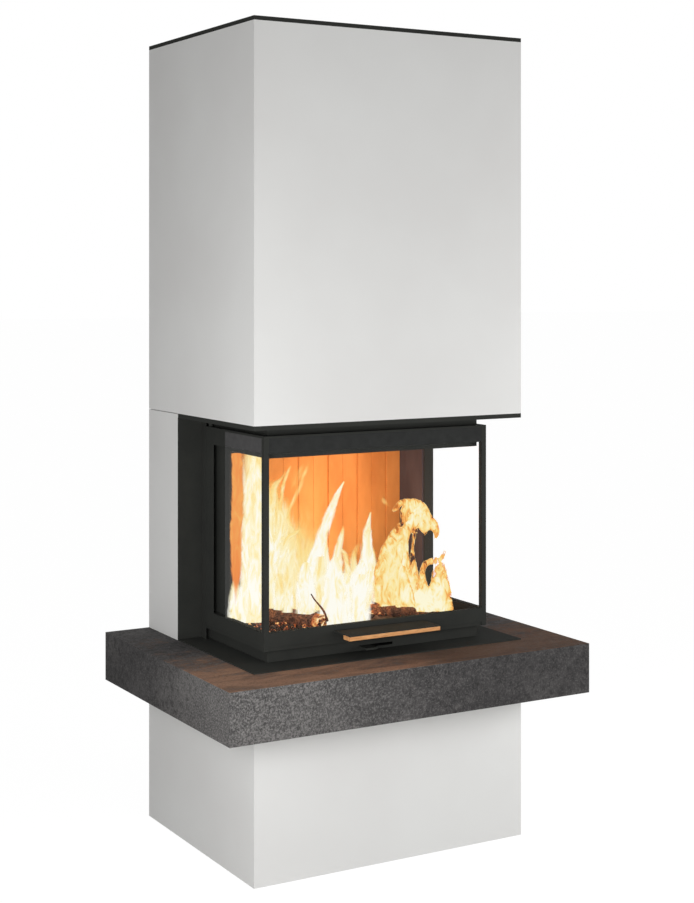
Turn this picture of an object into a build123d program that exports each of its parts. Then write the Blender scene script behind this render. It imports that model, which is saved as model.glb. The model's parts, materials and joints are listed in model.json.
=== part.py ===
from build123d import *
import os

# Fireplace kit with a three-sided lifting-door insert, in millimetres.
# X runs to the viewer's right, Y towards the wall behind the kit, and Z up.
# The origin is on the floor, in the middle of the kit's outline. The back is open to the wall.

os.makedirs("parts", exist_ok=True)

# Surround: overall sizes
total_height = 2400
body_width = 900
body_depth = 725
bench_overhang = 145
plinth_height = 442
bench_thickness = 146
column_depth = 219
hood_bottom_gap = 25
hood_frame_height = 13
hood_seam = 2
board = 30
tile = 10
base_plate_thickness = 3
sheet = 2
cut_over = 5

# Cut-outs that the insert passes through
bench_cut_inset = 115
bench_cut_gap = 13.5
plate_cut_inset = 5

# Hood steelwork
frame_wall = 3
frame_side_width = 65
frame_front_width = 75
trim_width = 84
trim_flange = 14
post_tube = 30
post_wall = 2.5
post_inset = 32
top_rim = 12
slot_width = 12
slot_spacing = 28
slot_count = 6
slot_side_inset = 65
slot_flue_gap = 60
flue_hole_r = 105

# Lifting door
door_side_inset = 72
door_setback = 80
door_back_gap = 44
door_bottom_gap = 35
bottom_rail_height = 52
window_height = 503
top_rail_height = 51
frame_bar = 16
bar_wall = 2
rail_lip_height = 11
rail_lip_step = 2
glass_thickness = 4
glass_top_edge = 6
rear_stile_width = 51
side_gap_length = 80
seal_thickness = 4
seal_height = 12
seal_inset = 14
door_clear = 4.5
door_travel = 540

# Handle
handle_length = 304
handle_reach = 92
handle_sheet = 3
handle_drop = 14
handle_plate_inset = 14
grip_depth = 38
grip_height = 12
grip_round = 2.5

# Insert: steel body
steel = 4
insert_tail = 52
tray_cover = 2
air_box_height = 27
collar_lap = 4
collar_show = 20
shell_depth = 171
shell_fold = 29
lip_drop = 18
lip_run = 36
lip_rise = 12
flue_r = 90.5
flue_shift = 7.25
dome_height = 198
dome_side_inset = 67.5
dome_front_inset = 59.5
dome_rear_inset = 34
dome_corner_r = 40
collar_height = 80
collar_wall = 4

# Insert: fireclay
brick = 30
cheek_brick = 35
back_brick_count = 6
flute_width = 5
flute_depth = 4
lining_gap = 5
baffle_front = 130
baffle_side_gap = 20
brick_joint = 0.5

# Grate, ash pan and logs
grate_width = 266
grate_thickness = 12
grate_ledge = 9
grate_setback = 84
grate_rear_inset = 99.5
grate_slot_width = 12
grate_slot_gap = 31
grate_slot_spacing = 27
grate_slot_count = 8
grate_corner_r = 6
log_radius = 26
pan_gap = 4
pan_wall = 1.5
pan_top_gap = 2
pan_foot = 9
seat_gap = 0.3

# Air intake and slide
spigot_r = 75
spigot_wall = 3
spigot_length = 56
spigot_flange = 13
spigot_shift = 13.25
spigot_place_share = 0.125
window_width = 70
window_inset = 5
slide_travel = 74
slide_margin = 8
slide_plate = 4
lever_width = 40
lever_thickness = 6
lever_rest_x = 37
lever_reach = 40
lever_clear = 1
strip_width = 5

# Stand under the insert
leg_size = 40
leg_wall = 3
leg_side_inset = 57.5
leg_front_inset = 60
leg_rear_inset = 34
leg_lift = 70
foot_r = 32
foot_height = 10
spindle_r = 8
spindle_height = 110
nut_across = 24
nut_height = 12

# Lift mechanism behind the insert
guide_width = 20
guide_depth = 26
guide_wall = 2.5
guide_gap = 3
guide_top_clear = 25
shoe_clear = 0.5
shoe_length = 60
shoe_inset = 30
lug_r = 6
lug_height = 24
lug_inset = 17
rope_r = 2
pulley_r = 50
pulley_flange = 4
pulley_width = 12
pulley_hub_r = 18
pulley_hub_width = 16
pulley_web = 6
pulley_hole_r = 9
pulley_hole_count = 5
groove_clear = 0.3
shaft_r = 10
shaft_over = 6
fit_clear = 0.05
bearing_wall = 5
bearing_flange = 4
bearing_over = 3
bracket_thickness = 6
bracket_side = 30
bracket_drop = 150
cross_tube = 25
cross_tube_rise = 5
cross_wall = 2.5
cross_setback = 15
weight_depth = 44
weight_height = 102
weight_hang = 160
boss_height = 20
rod_x = 200
rod_r = 6
rod_clear = 0.3
rod_over = 10
rod_bracket_width = 30
rod_bracket_thickness = 8

# Surround: places worked out from the sizes
half_body = body_width / 2
half_bench = half_body + bench_overhang
wall_y = (body_depth + bench_overhang) / 2
front_y = wall_y - body_depth
bench_front_y = front_y - bench_overhang
bench_z = plinth_height + bench_thickness
base_z = bench_z + base_plate_thickness
column_front_y = wall_y - column_depth
boards_top = total_height - top_rim
bench_cut_side = half_body - bench_cut_inset

# Door: places
door_half = half_body - door_side_inset
door_inner = door_half - frame_bar
door_front_y = front_y + door_setback
door_inner_y = door_front_y + frame_bar
door_rear_y = column_front_y - door_back_gap
door_z = base_z + door_bottom_gap
window_z = door_z + bottom_rail_height
window_top = window_z + window_height
door_top = window_top + top_rail_height
glass_top = door_top - glass_top_edge
stile_front_y = door_rear_y - rear_stile_width
glass_rear_y = stile_front_y - side_gap_length

# Hood: places
hood_frame_z = door_top + hood_bottom_gap
hood_z = hood_frame_z + hood_frame_height
frame_inner_x = half_body - frame_side_width
frame_inner_y = front_y + frame_front_width
post_x = half_body - post_inset

# Insert: places
insert_half = door_inner - door_clear
insert_front_y = door_inner_y + door_clear
insert_back_y = door_rear_y + insert_tail
insert_inner = insert_half - steel
inner_front_y = insert_front_y + steel
inner_back_y = insert_back_y - steel
tray_top = window_z - tray_cover
shelf_z = base_z + air_box_height
brick_z = shelf_z + steel
hearth_z = brick_z + brick
collar_z = window_top + collar_lap
collar_top = door_top + collar_show
shell_front_y = insert_back_y - shell_depth
cheek_inner = insert_inner - cheek_brick
back_brick_y = inner_back_y - brick
lining_top = collar_z - lining_gap
flue_y = (insert_front_y + insert_back_y) / 2 - flue_shift
dome_side = insert_half - dome_side_inset
dome_front_y = insert_front_y + dome_front_inset
dome_back_y = insert_back_y - dome_rear_inset
dome_y = (dome_front_y + dome_back_y) / 2
dome_depth = dome_back_y - dome_front_y
dome_top = collar_top + dome_height

# Warm-air slots in the top plate, between its edges and the flue hole: places
slot_inner_x = flue_hole_r + slot_flue_gap
slot_outer_x = half_body - slot_side_inset
slot_x = (slot_inner_x + slot_outer_x) / 2
slot_length = slot_outer_x - slot_inner_x

# Grate and air: places
grate_front_y = insert_front_y + grate_setback
grate_back_y = insert_back_y - grate_rear_inset
grate_y = (grate_front_y + grate_back_y) / 2
grate_depth = grate_back_y - grate_front_y
grate_slot_length = grate_depth / 2 - grate_slot_gap
grate_z = hearth_z - grate_thickness
grate_top = hearth_z + seat_gap
air_y = grate_front_y + spigot_place_share * grate_depth + spigot_shift
window_depth = grate_depth / 2 - window_inset
floor_z = base_z + steel
slide_z = floor_z + seat_gap
lever_z = slide_z + slide_plate
lever_y = insert_front_y - lever_reach

# Lift: places
rope_x = door_half - frame_bar / 2
rope_front_y = door_rear_y - lug_inset
shaft_y = rope_front_y + pulley_r
rope_back_y = shaft_y + pulley_r
rope_start_z = door_top + lug_height
shaft_z = rope_start_z + door_travel + pulley_r + pulley_flange
guide_y = door_rear_y + guide_gap
guide_rear_y = guide_y + guide_depth
guide_outer = insert_half + guide_width
guide_top = door_top + door_travel - shoe_inset + guide_top_clear
weight_top = shaft_z - weight_hang
weight_z = weight_top - weight_height
cross_top = weight_top + boss_height + cross_tube + cross_tube_rise


def block(x, y, z, mode=Mode.ADD):
    """A block between two places on each axis, in the part being built."""
    with Locations(((x[0] + x[1]) / 2, (y[0] + y[1]) / 2, (z[0] + z[1]) / 2)):
        Box(abs(x[1] - x[0]), abs(y[1] - y[0]), abs(z[1] - z[0]), mode=mode)


def keep(piece, name):
    """Labels a finished piece and writes it."""
    piece.part.label = name
    export_step(piece.part, f"parts/{name}.step")


sides = {"left": -1, "right": 1}

# Plinth: three rendered boards on the floor
with BuildPart() as plinth_front:
    block((-half_body, half_body), (front_y, front_y + board), (0, plinth_height))
keep(plinth_front, "plinth_front")

for side, sign in sides.items():
    with BuildPart() as plinth_side:
        block((sign * (half_body - board), sign * half_body), (front_y + board, wall_y), (0, plinth_height))
    keep(plinth_side, f"plinth_{side}")

# Bench: light concrete blocks with mitred ceramic slabs round them
bench_cut_y = air_y - spigot_r - spigot_flange - bench_cut_gap
core_half = half_bench - tile
core_front_y = bench_front_y + tile
core_top = bench_z - tile
with BuildPart() as bench_core:
    block((-core_half, core_half), (core_front_y, bench_cut_y), (plinth_height, core_top))
    for sign in sides.values():
        block((sign * bench_cut_side, sign * core_half), (bench_cut_y, wall_y), (plinth_height, core_top))
keep(bench_core, "bench_core")

# The top slab is a U, mitred on its three outer edges
with BuildPart() as bench_top:
    block((-half_bench, half_bench), (bench_front_y, wall_y), (core_top, bench_z))
    block((-bench_cut_side, bench_cut_side), (bench_cut_y, wall_y + cut_over),
          (core_top - cut_over, bench_z + cut_over), Mode.SUBTRACT)
    for sign in sides.values():
        with BuildSketch(Plane.XZ.offset(-wall_y - cut_over)):
            with BuildLine():
                Polyline((sign * half_bench, bench_z), (sign * half_bench, core_top),
                         (sign * core_half, core_top), close=True)
            make_face()
        extrude(amount=body_depth + bench_overhang + 2 * cut_over, mode=Mode.SUBTRACT)
    with BuildSketch(Plane.YZ.offset(-half_bench - cut_over)):
        with BuildLine():
            Polyline((bench_front_y, bench_z), (bench_front_y, core_top),
                     (core_front_y, core_top), close=True)
        make_face()
    extrude(amount=2 * (half_bench + cut_over), mode=Mode.SUBTRACT)
keep(bench_top, "bench_top")

# The front slab is mitred to the top slab and to both side slabs
with BuildPart() as bench_face_front:
    with BuildSketch(Plane.XY.offset(plinth_height)):
        with BuildLine():
            Polyline((-half_bench, bench_front_y), (half_bench, bench_front_y),
                     (core_half, core_front_y), (-core_half, core_front_y), close=True)
        make_face()
    extrude(amount=bench_thickness)
    with BuildSketch(Plane.YZ.offset(-half_bench)):
        with BuildLine():
            Polyline((bench_front_y, plinth_height), (bench_front_y, bench_z),
                     (core_front_y, core_top), (core_front_y, plinth_height), close=True)
        make_face()
    extrude(amount=2 * half_bench, mode=Mode.INTERSECT)
keep(bench_face_front, "bench_face_front")

for side, sign in sides.items():
    with BuildPart() as bench_face_side:
        with BuildSketch(Plane.XY.offset(plinth_height)):
            with BuildLine():
                Polyline((sign * half_bench, bench_front_y), (sign * half_bench, wall_y),
                         (sign * core_half, wall_y), (sign * core_half, core_front_y), close=True)
            make_face()
        extrude(amount=bench_thickness)
        with BuildSketch(Plane.XZ.offset(-wall_y)):
            with BuildLine():
                Polyline((sign * half_bench, plinth_height), (sign * half_bench, bench_z),
                         (sign * core_half, core_top), (sign * core_half, plinth_height), close=True)
            make_face()
        extrude(amount=body_depth + bench_overhang, mode=Mode.INTERSECT)
    keep(bench_face_side, f"bench_face_{side}")

# Black steel plate on the bench, a U that the insert stands in
plate_cut = bench_cut_side - plate_cut_inset
with BuildPart() as base_plate:
    block((-half_body, half_body), (front_y, column_front_y), (bench_z, base_z))
    block((-plate_cut, plate_cut), (bench_cut_y + plate_cut_inset, column_front_y + cut_over),
          (bench_z - cut_over, base_z + cut_over), Mode.SUBTRACT)
keep(base_plate, "base_plate")

# Rear columns: white boards, faced by folded steel with a welded post behind
for side, sign in sides.items():
    with BuildPart() as column:
        block((sign * (half_body - board), sign * half_body), (column_front_y + sheet, wall_y),
              (bench_z, hood_z - hood_seam))
    keep(column, f"column_{side}")

trim_inner = half_body - trim_width
post_inner = post_x - post_tube
with BuildPart() as column_trims:
    block((trim_inner, half_body), (column_front_y, column_front_y + sheet), (bench_z, hood_frame_z))
    block((trim_inner, trim_inner + sheet), (column_front_y + sheet, column_front_y + trim_flange),
          (bench_z, hood_frame_z))
    block((post_inner, post_x), (column_front_y + sheet, column_front_y + sheet + post_tube),
          (bench_z, hood_frame_z))
    block((post_inner + post_wall, post_x - post_wall),
          (column_front_y + sheet + post_wall, column_front_y + sheet + post_tube - post_wall),
          (bench_z - cut_over, hood_frame_z + cut_over), Mode.SUBTRACT)
    mirror(about=Plane.YZ)
keep(column_trims, "column_trims")

# Hood frame: a channel, open inwards, along the front and both sides, that runs back to the wall
with BuildPart() as hood_frame:
    block((-half_body, half_body), (front_y, frame_inner_y), (hood_frame_z, hood_z))
    for sign in sides.values():
        block((sign * frame_inner_x, sign * half_body), (frame_inner_y, column_front_y),
              (hood_frame_z, hood_z))
        block((sign * frame_inner_x, sign * post_x), (column_front_y, wall_y), (hood_frame_z, hood_z))
    block((frame_wall - half_body, half_body - frame_wall), (front_y + frame_wall, frame_inner_y),
          (hood_frame_z + frame_wall, hood_z - frame_wall), Mode.SUBTRACT)
    for sign in sides.values():
        block((sign * frame_inner_x, sign * (half_body - frame_wall)), (frame_inner_y, column_front_y),
              (hood_frame_z + frame_wall, hood_z - frame_wall), Mode.SUBTRACT)
        block((sign * frame_inner_x, sign * (post_x - frame_wall)), (column_front_y, wall_y - frame_wall),
              (hood_frame_z + frame_wall, hood_z - frame_wall), Mode.SUBTRACT)
keep(hood_frame, "hood_frame")

# Hood: three rendered boards and a folded steel lid with the flue hole and warm-air slots
with BuildPart() as hood_front:
    block((-half_body, half_body), (front_y, front_y + board), (hood_z, boards_top))
keep(hood_front, "hood_front")

for side, sign in sides.items():
    with BuildPart() as hood_side:
        block((sign * (half_body - board), sign * half_body), (front_y + board, wall_y), (hood_z, boards_top))
    keep(hood_side, f"hood_{side}")

with BuildPart() as hood_top_plate:
    block((-half_body, half_body), (front_y, wall_y), (boards_top, total_height))
    block((sheet - half_body, half_body - sheet), (front_y + sheet, wall_y - sheet),
          (boards_top, total_height - sheet), Mode.SUBTRACT)
    with BuildSketch(Plane.XY.offset(total_height)):
        with Locations((0, flue_y)):
            Circle(flue_hole_r)
        with Locations((-slot_x, flue_y), (slot_x, flue_y)):
            with GridLocations(0, slot_spacing, 1, slot_count):
                SlotOverall(slot_length, slot_width)
    extrude(amount=-top_rim, mode=Mode.SUBTRACT)
keep(hood_top_plate, "hood_top_plate")

# Stand: four tubes inside the plinth, each with a screwed foot
leg_x = insert_half - leg_side_inset
leg_front_y = insert_front_y + leg_front_inset
leg_back_y = insert_back_y - leg_rear_inset
leg_places = [(sign * leg_x, y) for sign in sides.values() for y in (leg_front_y, leg_back_y)]
with BuildPart() as stand_legs:
    with BuildSketch(Plane.XY.offset(leg_lift)):
        with Locations(leg_places):
            Rectangle(leg_size, leg_size)
    extrude(amount=base_z - leg_lift)
    with BuildSketch(Plane.XY.offset(leg_lift + leg_wall)):
        with Locations(leg_places):
            Rectangle(leg_size - 2 * leg_wall, leg_size - 2 * leg_wall)
    extrude(amount=base_z - leg_lift - leg_wall, mode=Mode.SUBTRACT)
    with BuildSketch(Plane.XY.offset(leg_lift)):
        with Locations(leg_places):
            Circle(spindle_r + fit_clear)
    extrude(amount=leg_wall, mode=Mode.SUBTRACT)
keep(stand_legs, "stand_legs")

with BuildPart() as stand_feet:
    with BuildSketch():
        with Locations(leg_places):
            Circle(foot_r)
    extrude(amount=foot_height)
    with BuildSketch(Plane.XY.offset(foot_height)):
        with Locations(leg_places):
            Circle(spindle_r)
    extrude(amount=spindle_height)
    with BuildSketch(Plane.XY.offset(leg_lift - nut_height)):
        with Locations(leg_places):
            RegularPolygon(nut_across / 2, 6, major_radius=False)
    extrude(amount=nut_height)
keep(stand_feet, "stand_feet")

# Insert base: a welded tray with the air box under its shelf
slot_left = -lever_rest_x - lever_width / 2 - lever_clear
slot_right = -lever_rest_x + slide_travel + lever_width / 2 + lever_clear
pan_half = grate_width / 2 - grate_ledge - pan_gap
pan_front_y = grate_front_y + grate_ledge + pan_gap
pan_back_y = grate_back_y - grate_ledge - pan_gap
well_half = pan_half + pan_gap / 2
with BuildPart() as insert_base:
    block((-insert_half, insert_half), (insert_front_y, insert_back_y), (base_z, tray_top))
    block((-insert_inner, insert_inner), (inner_front_y, inner_back_y), (brick_z, tray_top), Mode.SUBTRACT)
    block((-insert_inner, insert_inner), (inner_front_y, inner_back_y), (floor_z, shelf_z), Mode.SUBTRACT)
    block((-well_half, well_half), (pan_front_y - pan_gap / 2, pan_back_y + pan_gap / 2),
          (shelf_z, brick_z), Mode.SUBTRACT)
    block((slot_left, slot_right), (insert_front_y, inner_front_y),
          (lever_z - lever_clear, lever_z + lever_thickness + lever_clear), Mode.SUBTRACT)
    block((-window_width / 2, window_width / 2), (air_y - window_depth / 2, air_y + window_depth / 2),
          (base_z, floor_z), Mode.SUBTRACT)
    # Strips that guide the air slide and carry the ash pan
    strip_half = insert_inner / 2
    slide_half_depth = window_depth / 2 + slide_margin
    slide_back_y = air_y + slide_half_depth
    block((-strip_half, strip_half), (slide_back_y + seat_gap, slide_back_y + seat_gap + strip_width),
          (floor_z, floor_z + pan_foot))
    block((-strip_half, strip_half), (pan_back_y - 2 * strip_width, pan_back_y - strip_width),
          (floor_z, floor_z + pan_foot))
keep(insert_base, "insert_base")

with BuildPart() as air_spigot:
    with BuildSketch(Plane.XY.offset(base_z)):
        with Locations((0, air_y)):
            Circle(spigot_r + spigot_flange)
    extrude(amount=-steel)
    with BuildSketch(Plane.XY.offset(base_z - steel)):
        with Locations((0, air_y)):
            Circle(spigot_r)
    extrude(amount=-spigot_length)
    with BuildSketch(Plane.XY.offset(base_z)):
        with Locations((0, air_y)):
            Circle(spigot_r - spigot_wall)
    extrude(amount=-steel - spigot_length, mode=Mode.SUBTRACT)
keep(air_spigot, "air_spigot")

# Air slide: a plate with one window, and the lever that sticks out under the door
slide_left = -window_width / 2 - slide_travel - slide_margin
slide_right = window_width / 2 + slide_margin
lever_left = -lever_rest_x - lever_width / 2
with BuildPart() as air_slide:
    block((slide_left, slide_right), (air_y - slide_half_depth, slide_back_y), (slide_z, lever_z))
    block((-window_width / 2, window_width / 2), (air_y - window_depth / 2, air_y + window_depth / 2),
          (slide_z, lever_z), Mode.SUBTRACT)
    block((lever_left, lever_left + lever_width), (lever_y, air_y - slide_half_depth + slide_margin),
          (lever_z, lever_z + lever_thickness))
    fillet(air_slide.edges().filter_by(Axis.Z).group_by(Axis.Y)[0], lever_thickness / 2)
keep(air_slide, "air_slide")

# Fireclay floor: six bricks, with a step round the opening that carries the grate
ledge_half = grate_width / 2
step_half = ledge_half - grate_ledge
grate_room = 1
with BuildPart() as hearth_bricks:
    block((-insert_inner, insert_inner), (inner_front_y, inner_back_y), (brick_z, hearth_z))
    block((-ledge_half - grate_room, ledge_half + grate_room),
          (grate_front_y - grate_room, grate_back_y + grate_room), (grate_z, hearth_z), Mode.SUBTRACT)
    block((-step_half, step_half), (grate_front_y + grate_ledge, grate_back_y - grate_ledge),
          (brick_z, hearth_z), Mode.SUBTRACT)
    for joint_y in (grate_front_y - 2 * grate_room, grate_back_y + 2 * grate_room):
        block((-insert_inner, insert_inner), (joint_y, joint_y + brick_joint), (brick_z, hearth_z),
              Mode.SUBTRACT)
    block((-brick_joint / 2, brick_joint / 2), (inner_front_y, inner_back_y), (brick_z, hearth_z),
          Mode.SUBTRACT)
    fillet(hearth_bricks.edges().filter_by(Axis.X).group_by(Axis.Z)[-1].group_by(Axis.Y)[0], grate_room)
keep(hearth_bricks, "hearth_bricks")

# Ash pan: a pressed tray under the grate
pan_z = floor_z + pan_foot
pan_top = grate_z - pan_top_gap
with BuildPart() as ash_pan:
    block((-pan_half, pan_half), (pan_front_y, pan_back_y), (pan_z, pan_top))
    fillet(ash_pan.edges().filter_by(Axis.Z), grate_corner_r)
    offset(amount=-pan_wall, openings=ash_pan.faces().sort_by(Axis.Z)[-1])
keep(ash_pan, "ash_pan")

# Grate: a cast plate with two rows of slots, set in the floor
with BuildPart() as grate:
    with BuildSketch(Plane.XY.offset(grate_z + seat_gap)):
        with Locations((0, grate_y)):
            RectangleRounded(grate_width, grate_depth, grate_corner_r)
            row_spacing = (grate_depth - grate_slot_width) / 2
            with GridLocations(grate_slot_spacing, row_spacing, grate_slot_count, 2):
                SlotOverall(grate_slot_length, grate_slot_width, rotation=90, mode=Mode.SUBTRACT)
    extrude(amount=grate_top - grate_z - seat_gap)
    chamfer(grate.faces().sort_by(Axis.Z)[-1].outer_wire().edges(), grate_ledge / 6)
keep(grate, "grate")

# Two split logs, each lofted through three sections that lie on their flat split face
log_outline_shares = ((0, -0.8), (0, 0.85), (0.75, 1), (1.4, 0.7), (1.85, 0.05), (1.5, -0.65), (0.7, -1))
log_section_shares = ((0, 0.9), (0.45, 1), (1, 0.82))
log_end_shares = {"left": ((-0.7, 0.25), (-0.38, -0.55)), "right": ((0.14, -0.17), (0.69, -0.53))}
for side, end_shares in log_end_shares.items():
    start, end = [Vector(insert_inner * x_share, grate_y + grate_depth * y_share, grate_top)
                  for x_share, y_share in end_shares]
    with BuildPart() as log:
        for along_share, size_share in log_section_shares:
            middle = start + (end - start) * along_share
            with BuildSketch(Plane(origin=middle, x_dir=(0, 0, 1), z_dir=end - start)):
                with BuildLine():
                    Polyline(*[(log_radius * size_share * up_share, log_radius * size_share * side_share)
                               for up_share, side_share in log_outline_shares], close=True)
                make_face()
        loft(ruled=True)
    keep(log, f"log_{side}")

# Firebox shell: back and side walls on the tray's rim, folded in round the front of the cheek bricks
with BuildPart() as firebox_shell:
    block((-insert_half, insert_half), (shell_front_y, insert_back_y), (tray_top, collar_z))
    block((-insert_inner, insert_inner), (shell_front_y, inner_back_y), (tray_top, collar_z), Mode.SUBTRACT)
    for sign in sides.values():
        block((sign * (insert_inner - shell_fold), sign * insert_inner),
              (shell_front_y, shell_front_y + steel), (tray_top, lining_top))
keep(firebox_shell, "firebox_shell")

# Fluted back lining: plates side by side, each with a groove down its middle
plate_width = 2 * cheek_inner / back_brick_count
with BuildPart() as back_bricks:
    for i in range(back_brick_count):
        left = plate_width * i - cheek_inner
        block((left + brick_joint / 2, left + plate_width - brick_joint / 2),
              (back_brick_y, inner_back_y), (hearth_z, lining_top))
        middle = left + plate_width / 2
        block((middle - flute_width / 2, middle + flute_width / 2),
              (back_brick_y, back_brick_y + flute_depth), (hearth_z, lining_top), Mode.SUBTRACT)
    front_edges = back_bricks.edges().filter_by(Axis.Z).group_by(Axis.Y)[0]
    chamfer(front_edges, flute_depth / 4)
keep(back_bricks, "back_bricks")

# Cheek bricks between the shell's fold and its back wall
with BuildPart() as cheek_bricks:
    for sign in sides.values():
        block((sign * cheek_inner, sign * insert_inner), (shell_front_y + steel, inner_back_y),
              (hearth_z, lining_top))
keep(cheek_bricks, "cheek_bricks")

# Baffle plate on top of the lining
with BuildPart() as baffle_plate:
    baffle_half = insert_half - baffle_side_gap - brick_joint
    block((-baffle_half, baffle_half), (insert_front_y + baffle_front, inner_back_y - brick_joint),
          (lining_top, lining_top + brick))
    chamfer(baffle_plate.edges().filter_by(Axis.X).group_by(Axis.Y)[0], brick / 4)
keep(baffle_plate, "baffle_plate")

# Smoke box: the collar that the door slides round, open below
with BuildPart() as smoke_box:
    block((-insert_half, insert_half), (insert_front_y, insert_back_y), (collar_z, collar_top))
    block((-insert_inner, insert_inner), (inner_front_y, inner_back_y), (collar_z, collar_top - steel),
          Mode.SUBTRACT)
    with BuildSketch(Plane.XY.offset(collar_top)):
        with Locations((0, dome_y)):
            RectangleRounded(2 * (dome_side - steel), dome_depth - 2 * steel, dome_corner_r - steel)
    extrude(amount=-steel, mode=Mode.SUBTRACT)
keep(smoke_box, "smoke_box")

# Air-wash lip: a folded strip that hangs under the smoke box at the front, and plain ones at the sides
with BuildPart() as air_wash_lip:
    lip_z = collar_z - lip_drop
    lip_back_y = insert_front_y + lip_run
    with BuildSketch(Plane.YZ.offset(-insert_half)):
        with BuildLine():
            Polyline((insert_front_y, collar_z), (insert_front_y, lip_z), (insert_front_y + sheet, lip_z),
                     (lip_back_y, lip_z + lip_rise), (lip_back_y, lip_z + lip_rise + sheet),
                     (insert_front_y + sheet, lip_z + sheet), (insert_front_y + sheet, collar_z), close=True)
        make_face()
    extrude(amount=2 * insert_half)
    for sign in sides.values():
        block((sign * (insert_half - sheet), sign * insert_half), (insert_front_y, shell_front_y),
              (lip_z, collar_z))
keep(air_wash_lip, "air_wash_lip")

# Smoke dome: a lofted shell from the box up to the round outlet
with BuildPart() as smoke_dome:
    for inset, mode in ((0, Mode.ADD), (steel, Mode.SUBTRACT)):
        with BuildSketch(Plane.XY.offset(collar_top)) as dome_foot:
            with Locations((0, dome_y)):
                RectangleRounded(2 * (dome_side - inset), dome_depth - 2 * inset, dome_corner_r - inset)
        with BuildSketch(Plane.XY.offset(dome_top)) as dome_mouth:
            with Locations((0, flue_y)):
                Circle(flue_r + collar_wall - inset)
        loft([dome_foot.sketch, dome_mouth.sketch], mode=mode)
keep(smoke_dome, "smoke_dome")

with BuildPart() as flue_collar:
    with BuildSketch(Plane.XY.offset(dome_top)):
        with Locations((0, flue_y)):
            Circle(flue_r + collar_wall)
            Circle(flue_r, mode=Mode.SUBTRACT)
    extrude(amount=collar_height)
    chamfer(flue_collar.edges().group_by(Axis.Z)[-1].sort_by(SortBy.LENGTH)[-1], collar_wall / 2)
keep(flue_collar, "flue_collar")

# Guide rails: upright channels behind the door, open to the front
with BuildPart() as guide_rails:
    block((insert_half, guide_outer), (guide_y, guide_rear_y), (base_z, guide_top))
    block((insert_half + guide_wall, guide_outer - guide_wall), (guide_y, guide_rear_y - guide_wall),
          (base_z, guide_top), Mode.SUBTRACT)
    mirror(about=Plane.YZ)
keep(guide_rails, "guide_rails")

# Lift frame: side plates on the rails with a cross tube between them
bracket_z = shaft_z - bracket_drop
bracket_top = shaft_z + bracket_side
with BuildPart() as lift_frame:
    with BuildSketch(Plane.YZ.offset(insert_half - bracket_thickness)):
        with BuildLine():
            Polyline((guide_y, bracket_z), (guide_rear_y, bracket_z),
                     (shaft_y + bracket_side, shaft_z - bracket_side),
                     (shaft_y + bracket_side, bracket_top), (guide_y, bracket_top), close=True)
        make_face()
        with Locations((shaft_y, shaft_z)):
            Circle(shaft_r + bearing_wall + fit_clear, mode=Mode.SUBTRACT)
    extrude(amount=bracket_thickness)
    mirror(about=Plane.YZ)
    tube_inner = insert_half - bracket_thickness
    tube_y = guide_y + cross_setback
    block((-tube_inner, tube_inner), (tube_y, tube_y + cross_tube), (cross_top - cross_tube, cross_top))
    block((-tube_inner, tube_inner), (tube_y + cross_wall, tube_y + cross_tube - cross_wall),
          (cross_top - cross_tube + cross_wall, cross_top - cross_wall), Mode.SUBTRACT)
keep(lift_frame, "lift_frame")

# Flanged bushes in the side plates
with BuildPart() as shaft_bearings:
    bush_x = insert_half - bracket_thickness
    with BuildSketch(Plane.YZ.offset(bush_x - bearing_flange)):
        with Locations((shaft_y, shaft_z)):
            Circle(shaft_r + 2 * bearing_wall)
    extrude(amount=bearing_flange)
    with BuildSketch(Plane.YZ.offset(bush_x)):
        with Locations((shaft_y, shaft_z)):
            Circle(shaft_r + bearing_wall)
    extrude(amount=bracket_thickness + bearing_over)
    with BuildSketch(Plane.YZ.offset(bush_x - bearing_flange)):
        with Locations((shaft_y, shaft_z)):
            Circle(shaft_r + fit_clear)
    extrude(amount=bearing_flange + bracket_thickness + bearing_over, mode=Mode.SUBTRACT)
    mirror(about=Plane.YZ)
keep(shaft_bearings, "shaft_bearings")

shaft_half = rope_x + pulley_hub_width / 2 + shaft_over
with BuildPart() as lift_shaft:
    with BuildSketch(Plane.YZ.offset(-shaft_half)):
        with Locations((shaft_y, shaft_z)):
            Circle(shaft_r)
    extrude(amount=2 * shaft_half)
    chamfer(lift_shaft.edges().filter_by(GeomType.CIRCLE), shaft_r / 10)
keep(lift_shaft, "lift_shaft")

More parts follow.
